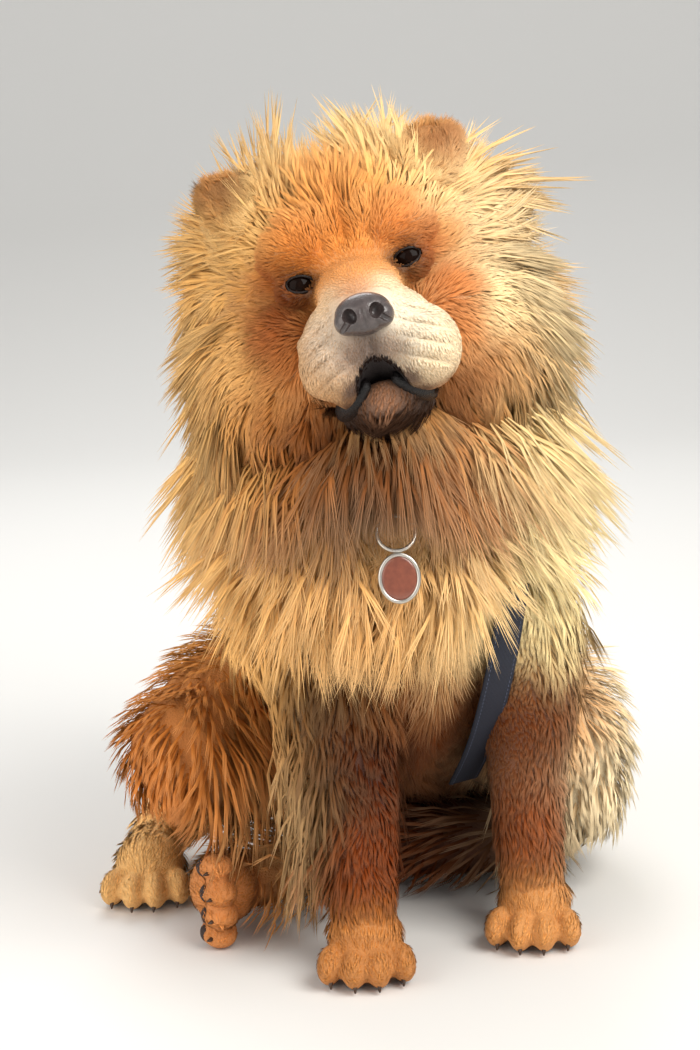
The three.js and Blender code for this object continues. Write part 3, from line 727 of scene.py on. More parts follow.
def dressHead(local, fields, share):
    x, y, z = local.T
    head = share["head"]
    back = softStep(y, 12, 66)
    crown = softStep(z, 24, 66) * (1 - back)
    low = softStep(y, -30, 8)
    lengths, stands, widths = (
        headCoat["muzzle"][key] + headCoat["cheek"][key] * low + headCoat["crown"][key] * crown
        + headCoat["ruff"][key] * back for key in ("length", "stand", "width"))
    lengths += headCoat["underChin"] * softStep(z, -92, -116) * softStep(y, -34, 10)
    ear = softStep(earSpace("hair", x, y, z), 1.7, 1.0)
    lengths = lengths * (1 - ear) + headCoat["ear"]["length"] * ear
    stands = stands * (1 - ear) + headCoat["ear"]["stand"] * ear
    widths = widths * (1 - ear) + headCoat["ear"]["width"] * ear
    lengths[(cupSpace("shortHair", np.abs(x), z) < 1) & (y < 52)] = headCoat["earCup"]
    around = softStep(earSpace("beside", x, y, z), 2.2, 0.9) * (1 - ear) * softStep(z, 20, 50)
    lengths += headCoat["besideEar"] * around
    stands += 0.25 * around
    lengths *= 1 + 0.16 * back * softStep(np.abs(x), 60, 110)
    lengths *= 1 + 0.35 * softStep(x, 40, 66) * softStep(z, 20, 60) * softStep(y, 52, 70)
    eyeX = headPose["eyeSpacing"] / 2
    eyeGap = np.hypot(np.abs(x) - eyeX, (z - 2) * 1.4)
    lengths *= headCoat["eyelid"] + (1 - headCoat["eyelid"]) * softStep(eyeGap, 9, 24)
    fields["length"] += head * (lengths - fields["length"])
    fields["stand"] += head * (stands - fields["stand"])
    fields["width"] += head * (widths - fields["width"])
    bare = np.ones(len(x))
    bare[(np.abs(x) < 20) & (y < -52) & (np.abs(z + 36) < 15)] = 0
    bare[(mouthShare(x, z) < 1) & (y < mouth["front"])] = 0
    bare[(np.hypot(np.abs(x) - eyeX, (z - 2) * 1.25) < 8.6) & (y < 10)] = 0
    return bare


# What some parts of the body add to their coat's length, in millimetres.
longer = {"feather": 30, "outerLeg": 40, "upperLeg": 16, "bib": 8, "innerThigh": 40, "crossedShank": 34,
          "tailCurl": 30, "chest": 10}


def dressBody(points, normals, fields, share):
    x, y, z = points.T
    leg, torso = share["leg"], share["torso"]
    feather = softStep(normals[:, 1], -0.1, 0.6) * softStep(z, 60, 110)
    outer = (softStep(-normals[:, 0], 0.2, 0.8) * softStep(x, 10, -16) * softStep(z, 50, 110)
             * softStep(z, 230, 180))
    fields["length"] += leg * (feather * longer["feather"] + longer["outerLeg"] * outer
                               + longer["upperLeg"] * softStep(z, 190, 260))
    fields["stand"] += leg * outer * 0.7
    fields["width"] += leg * outer * 0.9
    fields["stand"] += leg * feather * 0.35
    bib = torso * softStep(-normals[:, 1], 0, 0.6) * softStep(z, 240, 300)
    fields["length"] += bib * longer["bib"]
    fields["stand"] += bib * 0.3
    under = softStep(-normals[:, 2], 0.3, 0.8) * (torso + share["thigh"])
    fields["length"] *= 1 - 0.5 * under
    wide = np.abs(normals[:, 0]) * (share["neck"] + share["torso"] * softStep(z, 220, 300))
    fields["length"] *= 1 + 0.2 * wide
    inner = share["thigh"] * softStep(normals[:, 0] * np.where(x < 40, 1, -1), 0, 0.7) * softStep(y, 190, 140)
    fields["length"] += longer["innerThigh"] * inner
    hidden = share["shank"] * softStep(x, -110, -70) * softStep(z, 14, 34)
    fields["length"] += longer["crossedShank"] * hidden
    fields["stand"] += 1.0 * hidden
    fields["width"] += 0.8 * (hidden + inner)
    fields["length"] += longer["tailCurl"] * share["tail"] * softStep(z, 270, 330)
    fields["stand"] += 0.15 * share["tail"]
    chest = torso * softStep(-normals[:, 1], 0.1, 0.5) * softStep(z, 250, 200)
    fields["length"] += longer["chest"] * chest
    # Under the ruff the coat is short and dark before the bib begins: the dark is painted shadow, from the
    # marks at that height and the darkened roots that show.
    gap = share["neck"] * bump(z, 348, 15) * softStep(-normals[:, 1], 0.2, 0.8)
    fields["length"] *= 1 - 0.55 * gap
    # Hair that would hide the tag or lie over the strap is kept short.
    tagX, _, tagZ = tagCentre
    overTag = (np.abs(x - tagX) < 26) & (y < 40) & (z > tagZ + 12)
    fields["length"][overTag] = np.minimum(fields["length"], np.maximum(14, z - tagZ - 24))[overTag]
    behindTag = (np.hypot(x - tagX, z - tagZ) < 22) & (y < 40)
    fields["length"][behindTag] = np.minimum(fields["length"], 34)[behindTag]
    strapGap = distanceToPath(points, strapPath)
    fields["length"] *= 0.3 + 0.7 * softStep(strapGap, 24, 46)
    lowest = softStep(z, 2, 26)
    fields["length"] *= 0.35 + 0.65 * lowest
    fields["stand"] *= 0.4 + 0.6 * lowest


# Coat pieces: how many tufts each has, which kind of lock they are and the slot they go in. Calm hair lies
# flatter and more evenly than the rest.
coatPieces = {
    "coatMuzzle": {"locks": 8500, "lock": "short", "slot": "face_fur", "calm": True},
    "coatFace": {"locks": 9500, "lock": "short", "slot": "coat_gold"},
    "coatCrown": {"locks": 6500, "lock": "long", "slot": "coat_gold"},
    "coatRuffRight": {"locks": 8500, "lock": "long", "slot": "coat_cream"},
    "coatRuffLeft": {"locks": 8500, "lock": "long", "slot": "coat_cream"},
    "coatBib": {"locks": 9500, "lock": "long", "slot": "coat_cream"},
    "coatMane": {"locks": 3600, "lock": "long", "slot": "coat_cream"},
    "coatBack": {"locks": 4700, "lock": "long", "slot": "coat_gold"},
    "coatHaunches": {"locks": 8300, "lock": "short", "slot": "coat_rust"},
    "coatLegs": {"locks": 6000, "lock": "short", "slot": "coat_rust"},
    "coatPaws": {"locks": 5000, "lock": "short", "slot": "face_fur", "calm": True},
    "coatTail": {"locks": 3400, "lock": "long", "slot": "coat_cream"},
    "coatChin": {"locks": 1300, "lock": "short", "slot": "face_fur", "calm": True},
}


def coatRegions(points, local, normals, share):
    names = list(coatPieces)
    kinds = list(share)
    top = np.array([share[k] for k in kinds]).argmax(0)
    kindOf = np.array(kinds)[top]
    x, y, z = local.T
    region = np.full(len(points), names.index("coatBack"))
    head = kindOf == "head"
    region[head & (x < 0)] = names.index("coatRuffRight")
    region[head & (x >= 0)] = names.index("coatRuffLeft")
    region[head & (z > 46) & (y > 26)] = names.index("coatCrown")
    region[head & (y < 30) & (z > -100)] = names.index("coatFace")
    region[head & (y < -2) & (z < 12)] = names.index("coatMuzzle")
    front = normals[:, 1] < -0.15
    region[(kindOf == "neck") & front] = names.index("coatBib")
    region[(kindOf == "neck") & ~front] = names.index("coatMane")
    region[(kindOf == "torso") & front] = names.index("coatBib")
    region[(kindOf == "thigh") | (kindOf == "shank")] = names.index("coatHaunches")
    region[kindOf == "leg"] = names.index("coatLegs")
    region[kindOf == "paw"] = names.index("coatPaws")
    region[kindOf == "tail"] = names.index("coatTail")
    return region


# Stores a value for each vertex, under a name that the coat's nodes and its material read.
def setField(mesh, name, kind, values):
    old = mesh.attributes.get(name)
    if old:
        mesh.attributes.remove(old)
    attribute = mesh.attributes.new(name, kind, "POINT")
    attribute.data.foreach_set({"FLOAT": "value", "FLOAT_VECTOR": "vector", "FLOAT_COLOR": "color"}[kind],
                               np.ascontiguousarray(values, dtype=np.float32).ravel())


# One lock, 1 long along X: a flat blade that leaves the skin, bends back and parts into three strands.
# Its bow bends it sideways, and its fan spreads the strands, both in widths.
def lockObject(name, split, bow, fan, ends):
    def rise(s):
        return s - 0.45 * s * s - 0.02

    def sway(s):
        return bow * s * s

    columns = (-0.5, -0.17, 0.17, 0.5)
    places = [(0, -0.3, rise(0) + 0.01), (0, 0.3, rise(0) + 0.01), (0, 0, rise(0) - 0.012)]
    places += [(split, a + sway(split), rise(split) + 0.014 * (1 - abs(a) * 2)) for a in columns]
    places.append((split, sway(split), rise(split) - 0.014))
    faces = [(0, 1, 2), (0, 3, 4), (0, 4, 5), (0, 5, 1), (1, 5, 6), (0, 2, 7, 3), (2, 1, 6, 7)]
    for i, end in enumerate(ends):
        side = i - 1
        places.append((end, side * (0.33 + fan) + sway(end), rise(end)))
        tip = len(places) - 1
        faces += [(3 + i, 4 + i, tip), (4 + i, 7, tip), (7, 3 + i, tip)]
    mesh = closedMesh(name, places, faces)
    places = np.array(places)
    setField(mesh, "along", "FLOAT", places[:, 0])
    across = np.clip(places[:, 1] - [sway(s) for s in places[:, 0]], -0.5, 0.5)
    setField(mesh, "across", "FLOAT", across)
    setField(mesh, "patch", "FLOAT_VECTOR", np.stack([places[:, 0] - 0.5, across, across * 0], 1) * 0.003)
    return bpy.data.objects.new(name, mesh)


# Several bends of one kind of lock, for the coat to choose from.
def lockSet(name, split, bends):
    group = bpy.data.collections.new(name)
    for index, (bow, fan, ends) in enumerate(bends):
        group.objects.link(lockObject(f"{name}{index}", split, bow, fan, ends))
    return group


# Sizes are in millimetres, turns in radians, and the floor's height is in metres.
furTree = {"Clump Size": 13.0, "Gather": 1.1, "Clump Turn": 0.5, "Sweep": 0.6, "Sweep Size": 40.0,
           "Jitter": 0.2, "Length Spread": 0.2, "Curl": 0.35, "Floor Height": 0.012}
calmHair = {"Gather": 0.5, "Clump Turn": 0.15, "Jitter": 0.12, "Length Spread": 0.1, "Curl": 0.12}


def makeFurTree(treeName, locks):
    tree = bpy.data.node_groups.new(treeName, "GeometryNodeTree")
    sockets = tree.interface
    sockets.new_socket("Geometry", in_out="INPUT", socket_type="NodeSocketGeometry")
    for key, value in {"Density": 1000.0, **furTree}.items():
        sockets.new_socket(key, in_out="INPUT", socket_type="NodeSocketFloat").default_value = value
    sockets.new_socket("Seed", in_out="INPUT", socket_type="NodeSocketInt")
    sockets.new_socket("Material", in_out="INPUT", socket_type="NodeSocketMaterial")
    sockets.new_socket("Geometry", in_out="OUTPUT", socket_type="NodeSocketGeometry")
    given = addNode(tree, "NodeGroupInput").outputs

    def field(key, kind="FLOAT"):
        return addNode(tree, "GeometryNodeInputNamedAttribute", {"Name": key}, data_type=kind).outputs[0]

    def number(operation, a, b):
        return addNode(tree, "ShaderNodeMath", {0: a, 1: b}, operation=operation).outputs[0]

    def plus(a, b):
        return number("ADD", a, b)

    def times(a, b):
        return number("MULTIPLY", a, b)

    def vector(operation, a, b):
        second = "Scale" if operation == "SCALE" else 1
        return addNode(tree, "ShaderNodeVectorMath", {0: a, second: b}, operation=operation).outputs[0]

    def position():
        return addNode(tree, "GeometryNodeInputPosition").outputs[0]

    # A random number from -1 to 1 for each lock.
    def spread(seedOffset):
        seed = plus(given["Seed"], seedOffset)
        return addNode(tree, "FunctionNodeRandomValue", {2: -1.0, 3: 1.0, "Seed": seed},
                       data_type="FLOAT").outputs[1]

    # A number from -1 to 1 that changes slowly over the coat.
    def drift(offset):
        place = vector("ADD", position(), (offset, offset * 0.7, offset * 1.3))
        noise = noiseOver(tree, place, number("DIVIDE", 1000.0, given["Sweep Size"]), 1.5)
        return number("SUBTRACT", times(noise, 2.0), 1.0)

    def stored(geometry, key, value, kind, domain="POINT"):
        return addNode(tree, "GeometryNodeStoreNamedAttribute",
                       {"Geometry": geometry, "Name": key, "Value": value},
                       data_type=kind, domain=domain).outputs[0]

    points = addNode(tree, "GeometryNodeDistributePointsOnFaces",
                     {"Mesh": given["Geometry"], "Density": times(field("cover"), given["Density"]),
                      "Seed": given["Seed"]}, distribute_method="RANDOM")
    normal = points.outputs["Normal"]
    reachField = field("reach")
    # Locks that root in one cell lean to its middle, so that their tips meet in a clump.
    place = position()
    cells = addNode(tree, "ShaderNodeTexVoronoi",
                    {"Vector": place, "Scale": number("DIVIDE", 1000.0, given["Clump Size"])})
    inward = vector("SUBTRACT", cells.outputs["Position"], place)
    wide = plus(reachField, 0.012)
    pull = number("DIVIDE", times(given["Gather"], reachField), times(wide, wide))
    lie = vector("ADD", field("lie", "FLOAT_VECTOR"), vector("SCALE", inward, pull))
    cellRandom = addNode(tree, "ShaderNodeSeparateXYZ", {"Vector": cells.outputs["Color"]})
    cellA, cellB, cellC = (number("SUBTRACT", cellRandom.outputs[i], 0.5) for i in range(3))
    sweepA, sweepB = drift(0.0), drift(3.1)
    upright = addNode(tree, "FunctionNodeAlignRotationToVector", {"Vector": normal}, axis="Z")
    laid = addNode(tree, "FunctionNodeAlignRotationToVector",
                   {"Rotation": upright.outputs[0], "Vector": lie}, axis="X", pivot_axis="Z")
    turn = plus(times(sweepA, given["Sweep"]),
                plus(times(cellA, given["Clump Turn"]), times(spread(1), given["Jitter"])))
    tilt = plus(times(cellC, given["Curl"]), times(spread(2), 0.3))
    turning = addNode(tree, "ShaderNodeCombineXYZ", {"X": tilt, "Z": turn})
    turned = addNode(tree, "FunctionNodeRotateRotation",
                     {"Rotation": laid.outputs[0], "Rotate By": turning.outputs[0]}, rotation_space="LOCAL")
    longer = plus(times(spread(3), given["Length Spread"]), plus(1.0, times(cellB, 0.4)))
    reach = times(reachField, longer)
    width = times(field("thin"), plus(1.0, times(spread(4), 0.3)))
    rising = plus(times(cellC, 0.5), times(spread(5), 0.15))
    lift = times(times(reach, field("stand")), plus(0.95, rising))
    scale = addNode(tree, "ShaderNodeCombineXYZ", {"X": reach, "Y": width, "Z": lift})
    shade = plus(times(sweepB, 0.4), plus(times(cellB, 0.55), times(spread(6), 0.35)))
    rooted = stored(points.outputs["Points"], "shade", shade, "FLOAT")
    rooted = stored(rooted, "rootNormal", normal, "FLOAT_VECTOR")
    rooted = stored(rooted, "rootPlace", field("OFBake", "FLOAT_VECTOR"), "FLOAT_VECTOR")
    kinds = addNode(tree, "GeometryNodeCollectionInfo",
                    {"Collection": locks, "Separate Children": True, "Reset Children": True})
    choice = addNode(tree, "FunctionNodeRandomValue", {4: 0, 5: len(locks.objects) - 1}, data_type="INT")
    grown = addNode(tree, "GeometryNodeInstanceOnPoints",
                    {"Points": rooted, "Instance": kinds.outputs[0], "Pick Instance": True,
                     "Instance Index": choice.outputs[2],
                     "Rotation": turned.outputs[0], "Scale": scale.outputs[0]})
    real = addNode(tree, "GeometryNodeRealizeInstances", {"Geometry": grown.outputs[0]})
    # Hair that would dip under the floor lies along it instead.
    place = addNode(tree, "ShaderNodeSeparateXYZ", {"Vector": position()})
    above = number("SUBTRACT", number("DIVIDE", place.outputs["Z"], given["Floor Height"]), 1.0)
    laidHeight = times(number("EXPONENT", number("MINIMUM", above, 0.0), 0.0), given["Floor Height"])
    clear = number("MAXIMUM", number("SUBTRACT", place.outputs["Z"], given["Floor Height"]), 0.0)
    moved = addNode(tree, "ShaderNodeCombineXYZ",
                    {"X": place.outputs["X"], "Y": place.outputs["Y"], "Z": plus(laidHeight, clear)})
    real = addNode(tree, "GeometryNodeSetPosition",
                   {"Geometry": real.outputs[0], "Position": moved.outputs[0]})
    bakePlace = vector("ADD", field("rootPlace", "FLOAT_VECTOR"), field("patch", "FLOAT_VECTOR"))
    mapped = stored(real.outputs[0], "OFBake", bakePlace, "FLOAT2", "CORNER")
    finished = addNode(tree, "GeometryNodeSetMaterial", {"Geometry": mapped, "Material": given["Material"]})
    addNode(tree, "NodeGroupOutput", {"Geometry": finished.outputs[0]})
    return tree


coatSoftness = {"root": 0.85, "tip": 0.6}


# Locks are shaded partly by the way their skin faces, which gives the coat its soft bulk.
def softenNormals(mesh):
    flat = np.empty(len(mesh.vertices) * 3, np.float32)
    mesh.attributes["rootNormal"].data.foreach_get("vector", flat)
    along = np.empty(len(mesh.vertices), np.float32)
    mesh.attributes["along"].data.foreach_get("value", along)
    share = np.interp(along, [0, 1], [coatSoftness["root"], coatSoftness["tip"]])[:, None]
    mixed = vertexNormals(mesh) * (1 - share) + flat.reshape(-1, 3) * share
    mesh.normals_split_custom_set_from_vertices(unit(mixed).tolist())


def growCoat(skinPiece, tree, name, grows, area, seed, material):
    mesh = skinPiece.data.copy()
    setField(mesh, "cover", "FLOAT", grows)
    piece = linked(name, mesh)
    grow = piece.modifiers.new("Grow", "NODES")
    grow.node_group = tree
    values = {"Density": coatPieces[name]["locks"] / area, "Seed": seed, "Material": material}
    if coatPieces[name].get("calm"):
        values.update(calmHair)
    for item in tree.interface.items_tree:
        if item.in_out == "INPUT" and item.name in values:
            grow[item.identifier] = values[item.name]
    result = applied(piece)
    softenNormals(result)
    for unused in ("cover", "lie", "reach", "stand", "thin", "rootPlace", "rootNormal", "patch"):
        if unused in result.attributes:
            result.attributes.remove(result.attributes[unused])
    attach(piece, "root")
    print(name, len(result.polygons), "faces")


# A tuft takes the colour of the marking that it roots in, darker at its root and paler at its tip. The
# darkening toward the root is partly the coat's rust roots and partly painted shade deep in the coat.
fur = {"rootToneAndShade": (0.64, 0.47, 0.32), "tipColour": (255, 232, 196), "tipShare": 0.55}


def furMaterial():
    material, tree, shader = newMaterial("longFur", {"Roughness": 0.75, "Specular IOR Level": 0.04})
    tint, along, shade = attribute(tree, "tint"), attribute(tree, "along"), attribute(tree, "shade")
    # Toward the root the tint is darkened: the roots' own rust and painted shade deep in the coat.
    depth = rangeOver(tree, along["Fac"], fromMin=0.0, fromMax=0.6, toMin=0.2, toMax=1.0)
    root = mixColours(tree, depth, fur["rootToneAndShade"], (1, 1, 1))
    dark = mixColours(tree, 1.0, tint["Color"], root, "MULTIPLY")
    tipShare = rangeOver(tree, along["Fac"], fromMin=0.4, fromMax=1.0, toMin=0.0,
                         toMax=attribute(tree, "pale")["Fac"])
    pale = mixColours(tree, fur["tipShare"], tint["Color"], colour(*fur["tipColour"]))
    tipped = mixColours(tree, tipShare, dark, pale)
    level = rangeOver(tree, shade["Fac"], fromMin=-1.0, fromMax=1.0, toMin=0.72, toMax=1.22)
    # Streaks run along each lock, and each lock has its own.
    strand = addNode(tree, "ShaderNodeCombineXYZ")
    streaks = ((attribute(tree, "across"), 9.0, 0.0), (along, 1.3, 0.0), (shade, 61.0, 7.0))
    for i, (source, scale, offset) in enumerate(streaks):
        scaled = addNode(tree, "ShaderNodeMath", {0: source["Fac"], 1: scale, 2: offset},
                         operation="MULTIPLY_ADD")
        tree.links.new(scaled.outputs[0], strand.inputs[i])
    streak = noiseOver(tree, strand.outputs[0], 1.0, 1.0)
    streaked = rangeOver(tree, streak, fromMin=0.3, fromMax=0.7, toMin=0.82, toMax=1.14)
    both = addNode(tree, "ShaderNodeMath", {0: level, 1: streaked}, operation="MULTIPLY")
    varied = addNode(tree, "ShaderNodeVectorMath", {0: tipped, "Scale": both.outputs[0]}, operation="SCALE")
    tree.links.new(varied.outputs[0], shader.inputs["Base Color"])
    return material


def skinMaterial():
    material, tree, shader = newMaterial("furSkin", {"Roughness": 0.8})
    noise = noiseOver(tree, objectPlace(tree), 700.0, 4.0)
    level = rangeOver(tree, noise, toMin=0.6, toMax=1.0)
    deep = mixColours(tree, 1.0, attribute(tree, "tint")["Color"], level, "MULTIPLY")
    tree.links.new(deep, shader.inputs["Base Color"])
    addBump(tree, shader, noise, 0.6, 0.002)
    return material


# Writes what a coat is grown from onto a skin, with lengths and widths given in millimetres.
def setCoatFields(mesh, tint, pale, lie, length, stand, width):
    setField(mesh, "tint", "FLOAT_COLOR", np.hstack([tint, np.ones((len(tint), 1))]))
    setField(mesh, "pale", "FLOAT", pale)
    setField(mesh, "lie", "FLOAT_VECTOR", lie)
    setField(mesh, "reach", "FLOAT", length * millimetre)
    setField(mesh, "stand", "FLOAT", stand)
    setField(mesh, "thin", "FLOAT", width * millimetre)


# Each kind of lock parts into strands at its split. A bend is its bow, its fan and its three strands' ends.
lockKinds = {
    "long": {"split": 0.42, "bends": (
        (0, 0.9, (0.86, 1.0, 0.93)), (1.8, 0.5, (0.94, 1.0, 0.8)), (-1.8, 0.5, (0.8, 0.92, 1.0)),
        (0.9, 1.3, (1.0, 0.84, 0.92)), (-0.9, 1.3, (0.9, 1.0, 0.82)), (2.8, 0.7, (0.85, 1.0, 0.95)),
        (-2.8, 0.7, (0.92, 0.86, 1.0)))},
    "short": {"split": 0.5, "bends": (
        (0, 0.1, (0.88, 1.0, 0.92)), (0.9, 0.2, (0.92, 1.0, 0.88)), (-0.9, 0.2, (0.86, 0.94, 1.0)))},
}
# A full cover is for hair of this length, in millimetres, and seeds count up from the first.
cover = {"length": 22, "least": 0.55, "most": 2.2, "underChin": 1.2, "overCollar": 1.5, "firstSeed": 10}


def makeCoat(skinPiece):
    mesh = skinPiece.data
    points, normals, local, lie, fields, share = coatFields(mesh)
    bare = dressHead(local, fields, share)
    dressBody(points, normals, fields, share)
    head = share["head"]
    x, y, z = local.T
    tint = head[:, None] * blendMarks(local, headMarksAndPaintedLight) + (1 - head[:, None]) * blendMarks(points, bodyMarksAndPaintedLight)
    # Inside the mouth's arch the tint is near black: partly the black lips and partly painted shadow in the
    # arch.
    tint[(mouthShare(x, z, 2) < 1) & (y < -2)] = colour(28, 16, 14)
    # Tips are pale on the ruff and the body, and keep their colour on throat, ears and limbs.
    back = softStep(y, 10, 50) * head + (1 - head)
    throat = head * softStep(z, -86, -104) * softStep(np.abs(x), 70, 40)
    back = back * (1 - 0.8 * throat)
    back = back * (1 - 0.9 * head * softStep(earSpace("deepTips", x, y, z), 1.6, 0.8))
    limbs = share["leg"] + share["paw"] + share["shank"] + 0.7 * share["thigh"]
    dull = 1 - 0.8 * np.clip(limbs + share["torso"] * softStep(points[:, 2], 260, 210), 0, 1)
    pale = 0.04 + 0.42 * back * dull
    setCoatFields(mesh, tint, pale, lie, fields["length"], fields["stand"], fields["width"])
    unwrap(skinPiece)
    region = coatRegions(points, local, normals, share)
    trees = {kind: makeFurTree(f"grow{kind.title()}", lockSet(f"{kind}Locks", given["split"], given["bends"]))
             for kind, given in lockKinds.items()}
    material = furMaterial()
    areas = vertexAreas(mesh)
    # Short hair needs more tufts for the same cover, and so do the throat and the hair over the collar.
    dense = bare * np.clip(cover["length"] / np.maximum(fields["length"], 4), cover["least"], cover["most"])
    underChin = bump(z, -108, 26) * softStep(y, 60, 10) * head
    overCollar = cover["overCollar"] * bump(points[:, 2], collar["height"] + 28, 20) * (1 - head)
    dense = dense * (1 + cover["underChin"] * underChin) * (1 + overCollar)
    for index, name in enumerate(coatPieces):
        if name == "coatChin":
            makeChin(trees["short"], material)
            continue
        grows = (region == index) * dense
        growCoat(skinPiece, trees[coatPieces[name]["lock"]], name, grows, float((areas * grows).sum()),
                 cover["firstSeed"] + index, material)
    for unused in ("lie", "reach", "stand", "thin"):
        mesh.attributes.remove(mesh.attributes[unused])


chinLook = {"length": 5, "longer": 12, "stand": 0.4, "width": 1.1, "low": (22, 15, 14),
            "high": (156, 112, 84), "voxel": 1.6, "seed": 40,
            "stations": [(0, 22, -92, 35, 18), (0, -4, -91, 30, 16), (0, -30, -89, 23, 14)]}


# The chin is a furred piece of its own under the open mouth.
def makeChin(tree, material):
    piece = fusedPiece("chin", [limb(chinLook["stations"], depth=2, pose=headMatrix)], chinLook["voxel"], 3)
    mesh = piece.data
    normals = vertexNormals(mesh)
    count = len(mesh.vertices)
    x, y, z = transformed(modelPoints(mesh), headInverse).T
    down = np.array([0, -0.2, -1.0])
    lie = unit(down - normals * (normals @ down)[:, None])
    # The tint runs from the dark colour to the light one: dark at the sides for the black lip edges, and dark
    # underneath as painted shade.
    shade = (0.12 + 0.88 * bump(x, 0, 13) * softStep(z, -106, -92))[:, None]
    tint = np.array(colour(*chinLook["low"])) * (1 - shade) + np.array(colour(*chinLook["high"])) * shade
    lengths = chinLook["length"] + chinLook["longer"] * softStep(z, -92, -104)
    setCoatFields(mesh, tint, np.zeros(count), lie, lengths, np.full(count, chinLook["stand"]),
                  np.full(count, chinLook["width"]))
    unwrap(piece)
    area = vertexAreas(mesh).sum()
    growCoat(piece, tree, "coatChin", np.ones(count), float(area), chinLook["seed"], material)
    finishPiece(piece, skinMaterial(), ["lower_jaw"])


def vertexAreas(mesh):
    areas = np.empty(len(mesh.polygons))
    mesh.polygons.foreach_get("area", areas)
    starts = np.empty(len(mesh.polygons), int)
    totals = np.empty(len(mesh.polygons), int)
    mesh.polygons.foreach_get("loop_start", starts)
    mesh.polygons.foreach_get("loop_total", totals)
    corners = np.empty(len(mesh.loops), int)
    mesh.loops.foreach_get("vertex_index", corners)
    return np.bincount(corners, weights=np.repeat(areas / totals, totals), minlength=len(mesh.vertices))


def unwrap(piece):
    piece.data.uv_layers.new(name="OFBake")
    bpy.context.view_layer.objects.active = piece
    piece.select_set(True)
    bpy.ops.object.mode_set(mode="EDIT")
    bpy.ops.mesh.select_all(action="SELECT")
    bpy.ops.uv.smart_project(angle_limit=math.radians(66), island_margin=0.001)
    bpy.ops.object.mode_set(mode="OBJECT")
    piece.select_set(False)
    print("skin unwrapped")


def eyeMaterial():
    material, tree, shader = newMaterial("wetEye", {"Roughness": 0.05, "Specular IOR Level": 0.02,
                                                    "Coat Weight": 0.07, "Coat Roughness": 0.03})
    noise = noiseOver(tree, objectPlace(tree), 500.0, 3.0)
    ramp = mixColours(tree, noise, colour(8, 5, 4), colour(30, 16, 10))
    tree.links.new(ramp, shader.inputs["Base Color"])
    return material


# Pebbled dark skin or horn, from a deep colour to a lighter one, with bumps of a given count to the metre.
def darkSkinMaterial(name, low, high, roughness, scale, strength, gloss=0.0):
    material, tree, shader = newMaterial(name, {"Roughness": roughness, "Specular IOR Level": 0.3,
                                                "Coat Weight": gloss, "Coat Roughness": 0.2})
    place = objectPlace(tree)
    cells = addNode(tree, "ShaderNodeTexVoronoi", {"Vector": place, "Scale": scale})
    shade = mixColours(tree, noiseOver(tree, place, scale * 0.2, 4.0), colour(*low), colour(*high))
    tree.links.new(shade, shader.inputs["Base Color"])
    addBump(tree, shader, cells.outputs["Distance"], strength, 0.0006)
    return material


lids = {"halfWidth": 9.4, "halfHeight": 6.1, "upper": 0.85, "slant": 0.12, "ball": 12.2, "thickness": 0.9}


def makeEyes():
    eyeFinish = eyeMaterial()
    lidFinish = darkSkinMaterial("lidSkin", (16, 9, 7), (34, 20, 14), 0.5, 1400, 0.3)
    turns = np.linspace(0, 2 * math.pi, 48, endpoint=False)
    for name, s in bothSides.items():
        ball = egg(eyeAt(s), [headPose["eyeRadius"]] * 3, pose=headMatrix)
        addPiece(f"eyeball_{name}", meshFrom("eyeball", [ball]), eyeFinish, [f"eye_{name}"])
        u, v = lids["halfWidth"] * np.cos(turns), lids["halfHeight"] * np.sin(turns)
        v = v * np.where(v > 0, lids["upper"], 1.0) + lids["slant"] * u
        y = 3 - np.sqrt(np.clip(lids["ball"] ** 2 - u ** 2 - v ** 2, 4, None))
        ring = np.stack([s * (u + headPose["eyeSpacing"] / 2 - 1), y, v + 2], 1)
        tube, faces = sweep(ring, circle(lids["thickness"], 10), (0, -1, 0), closed=True)
        mesh = meshFrom("lids", [(transformed(tube, headMatrix), faces)])
        addPiece(f"lids_{name}", mesh, lidFinish)
    print("eyes made")


# The nose pad and the lips are given for the dog's left, in the head's frame, and mirrored.
nosePad = {
    "middle": {"at": (0, -66, -36), "radii": (19, 14, 14)},
    "wing": {"at": (11, -68, -39), "radii": (9, 11, 9)},
    "nostril": {"at": (9.5, -80, -37), "radii": (4.8, 9, 5.8), "turn": (0, 25, 20)},
    "slit": [(11, -78, -41, 2.4, 2.4), (16, -74, -45, 1.8, 1.8), (20, -68, -46, 1, 1)],
    "groove": 1.8, "voxel": 0.8, "smoothing": 3,
}
lips = {"stations": [(10, -38, -78, 4, 5), (20, -29, -85, 7, 8), (29, -8, -89, 6.5, 7.5),
                     (30, 26, -86, 3, 4)], "voxel": 1.2, "smoothing": 2}


def onSide(s, place):
    return (s * place[0], *place[1:])


def mirrored(stations, corners):
    return [limb([onSide(s, station) for station in stations], pose=headMatrix, sides=corners)
            for s in (-1, 1)]


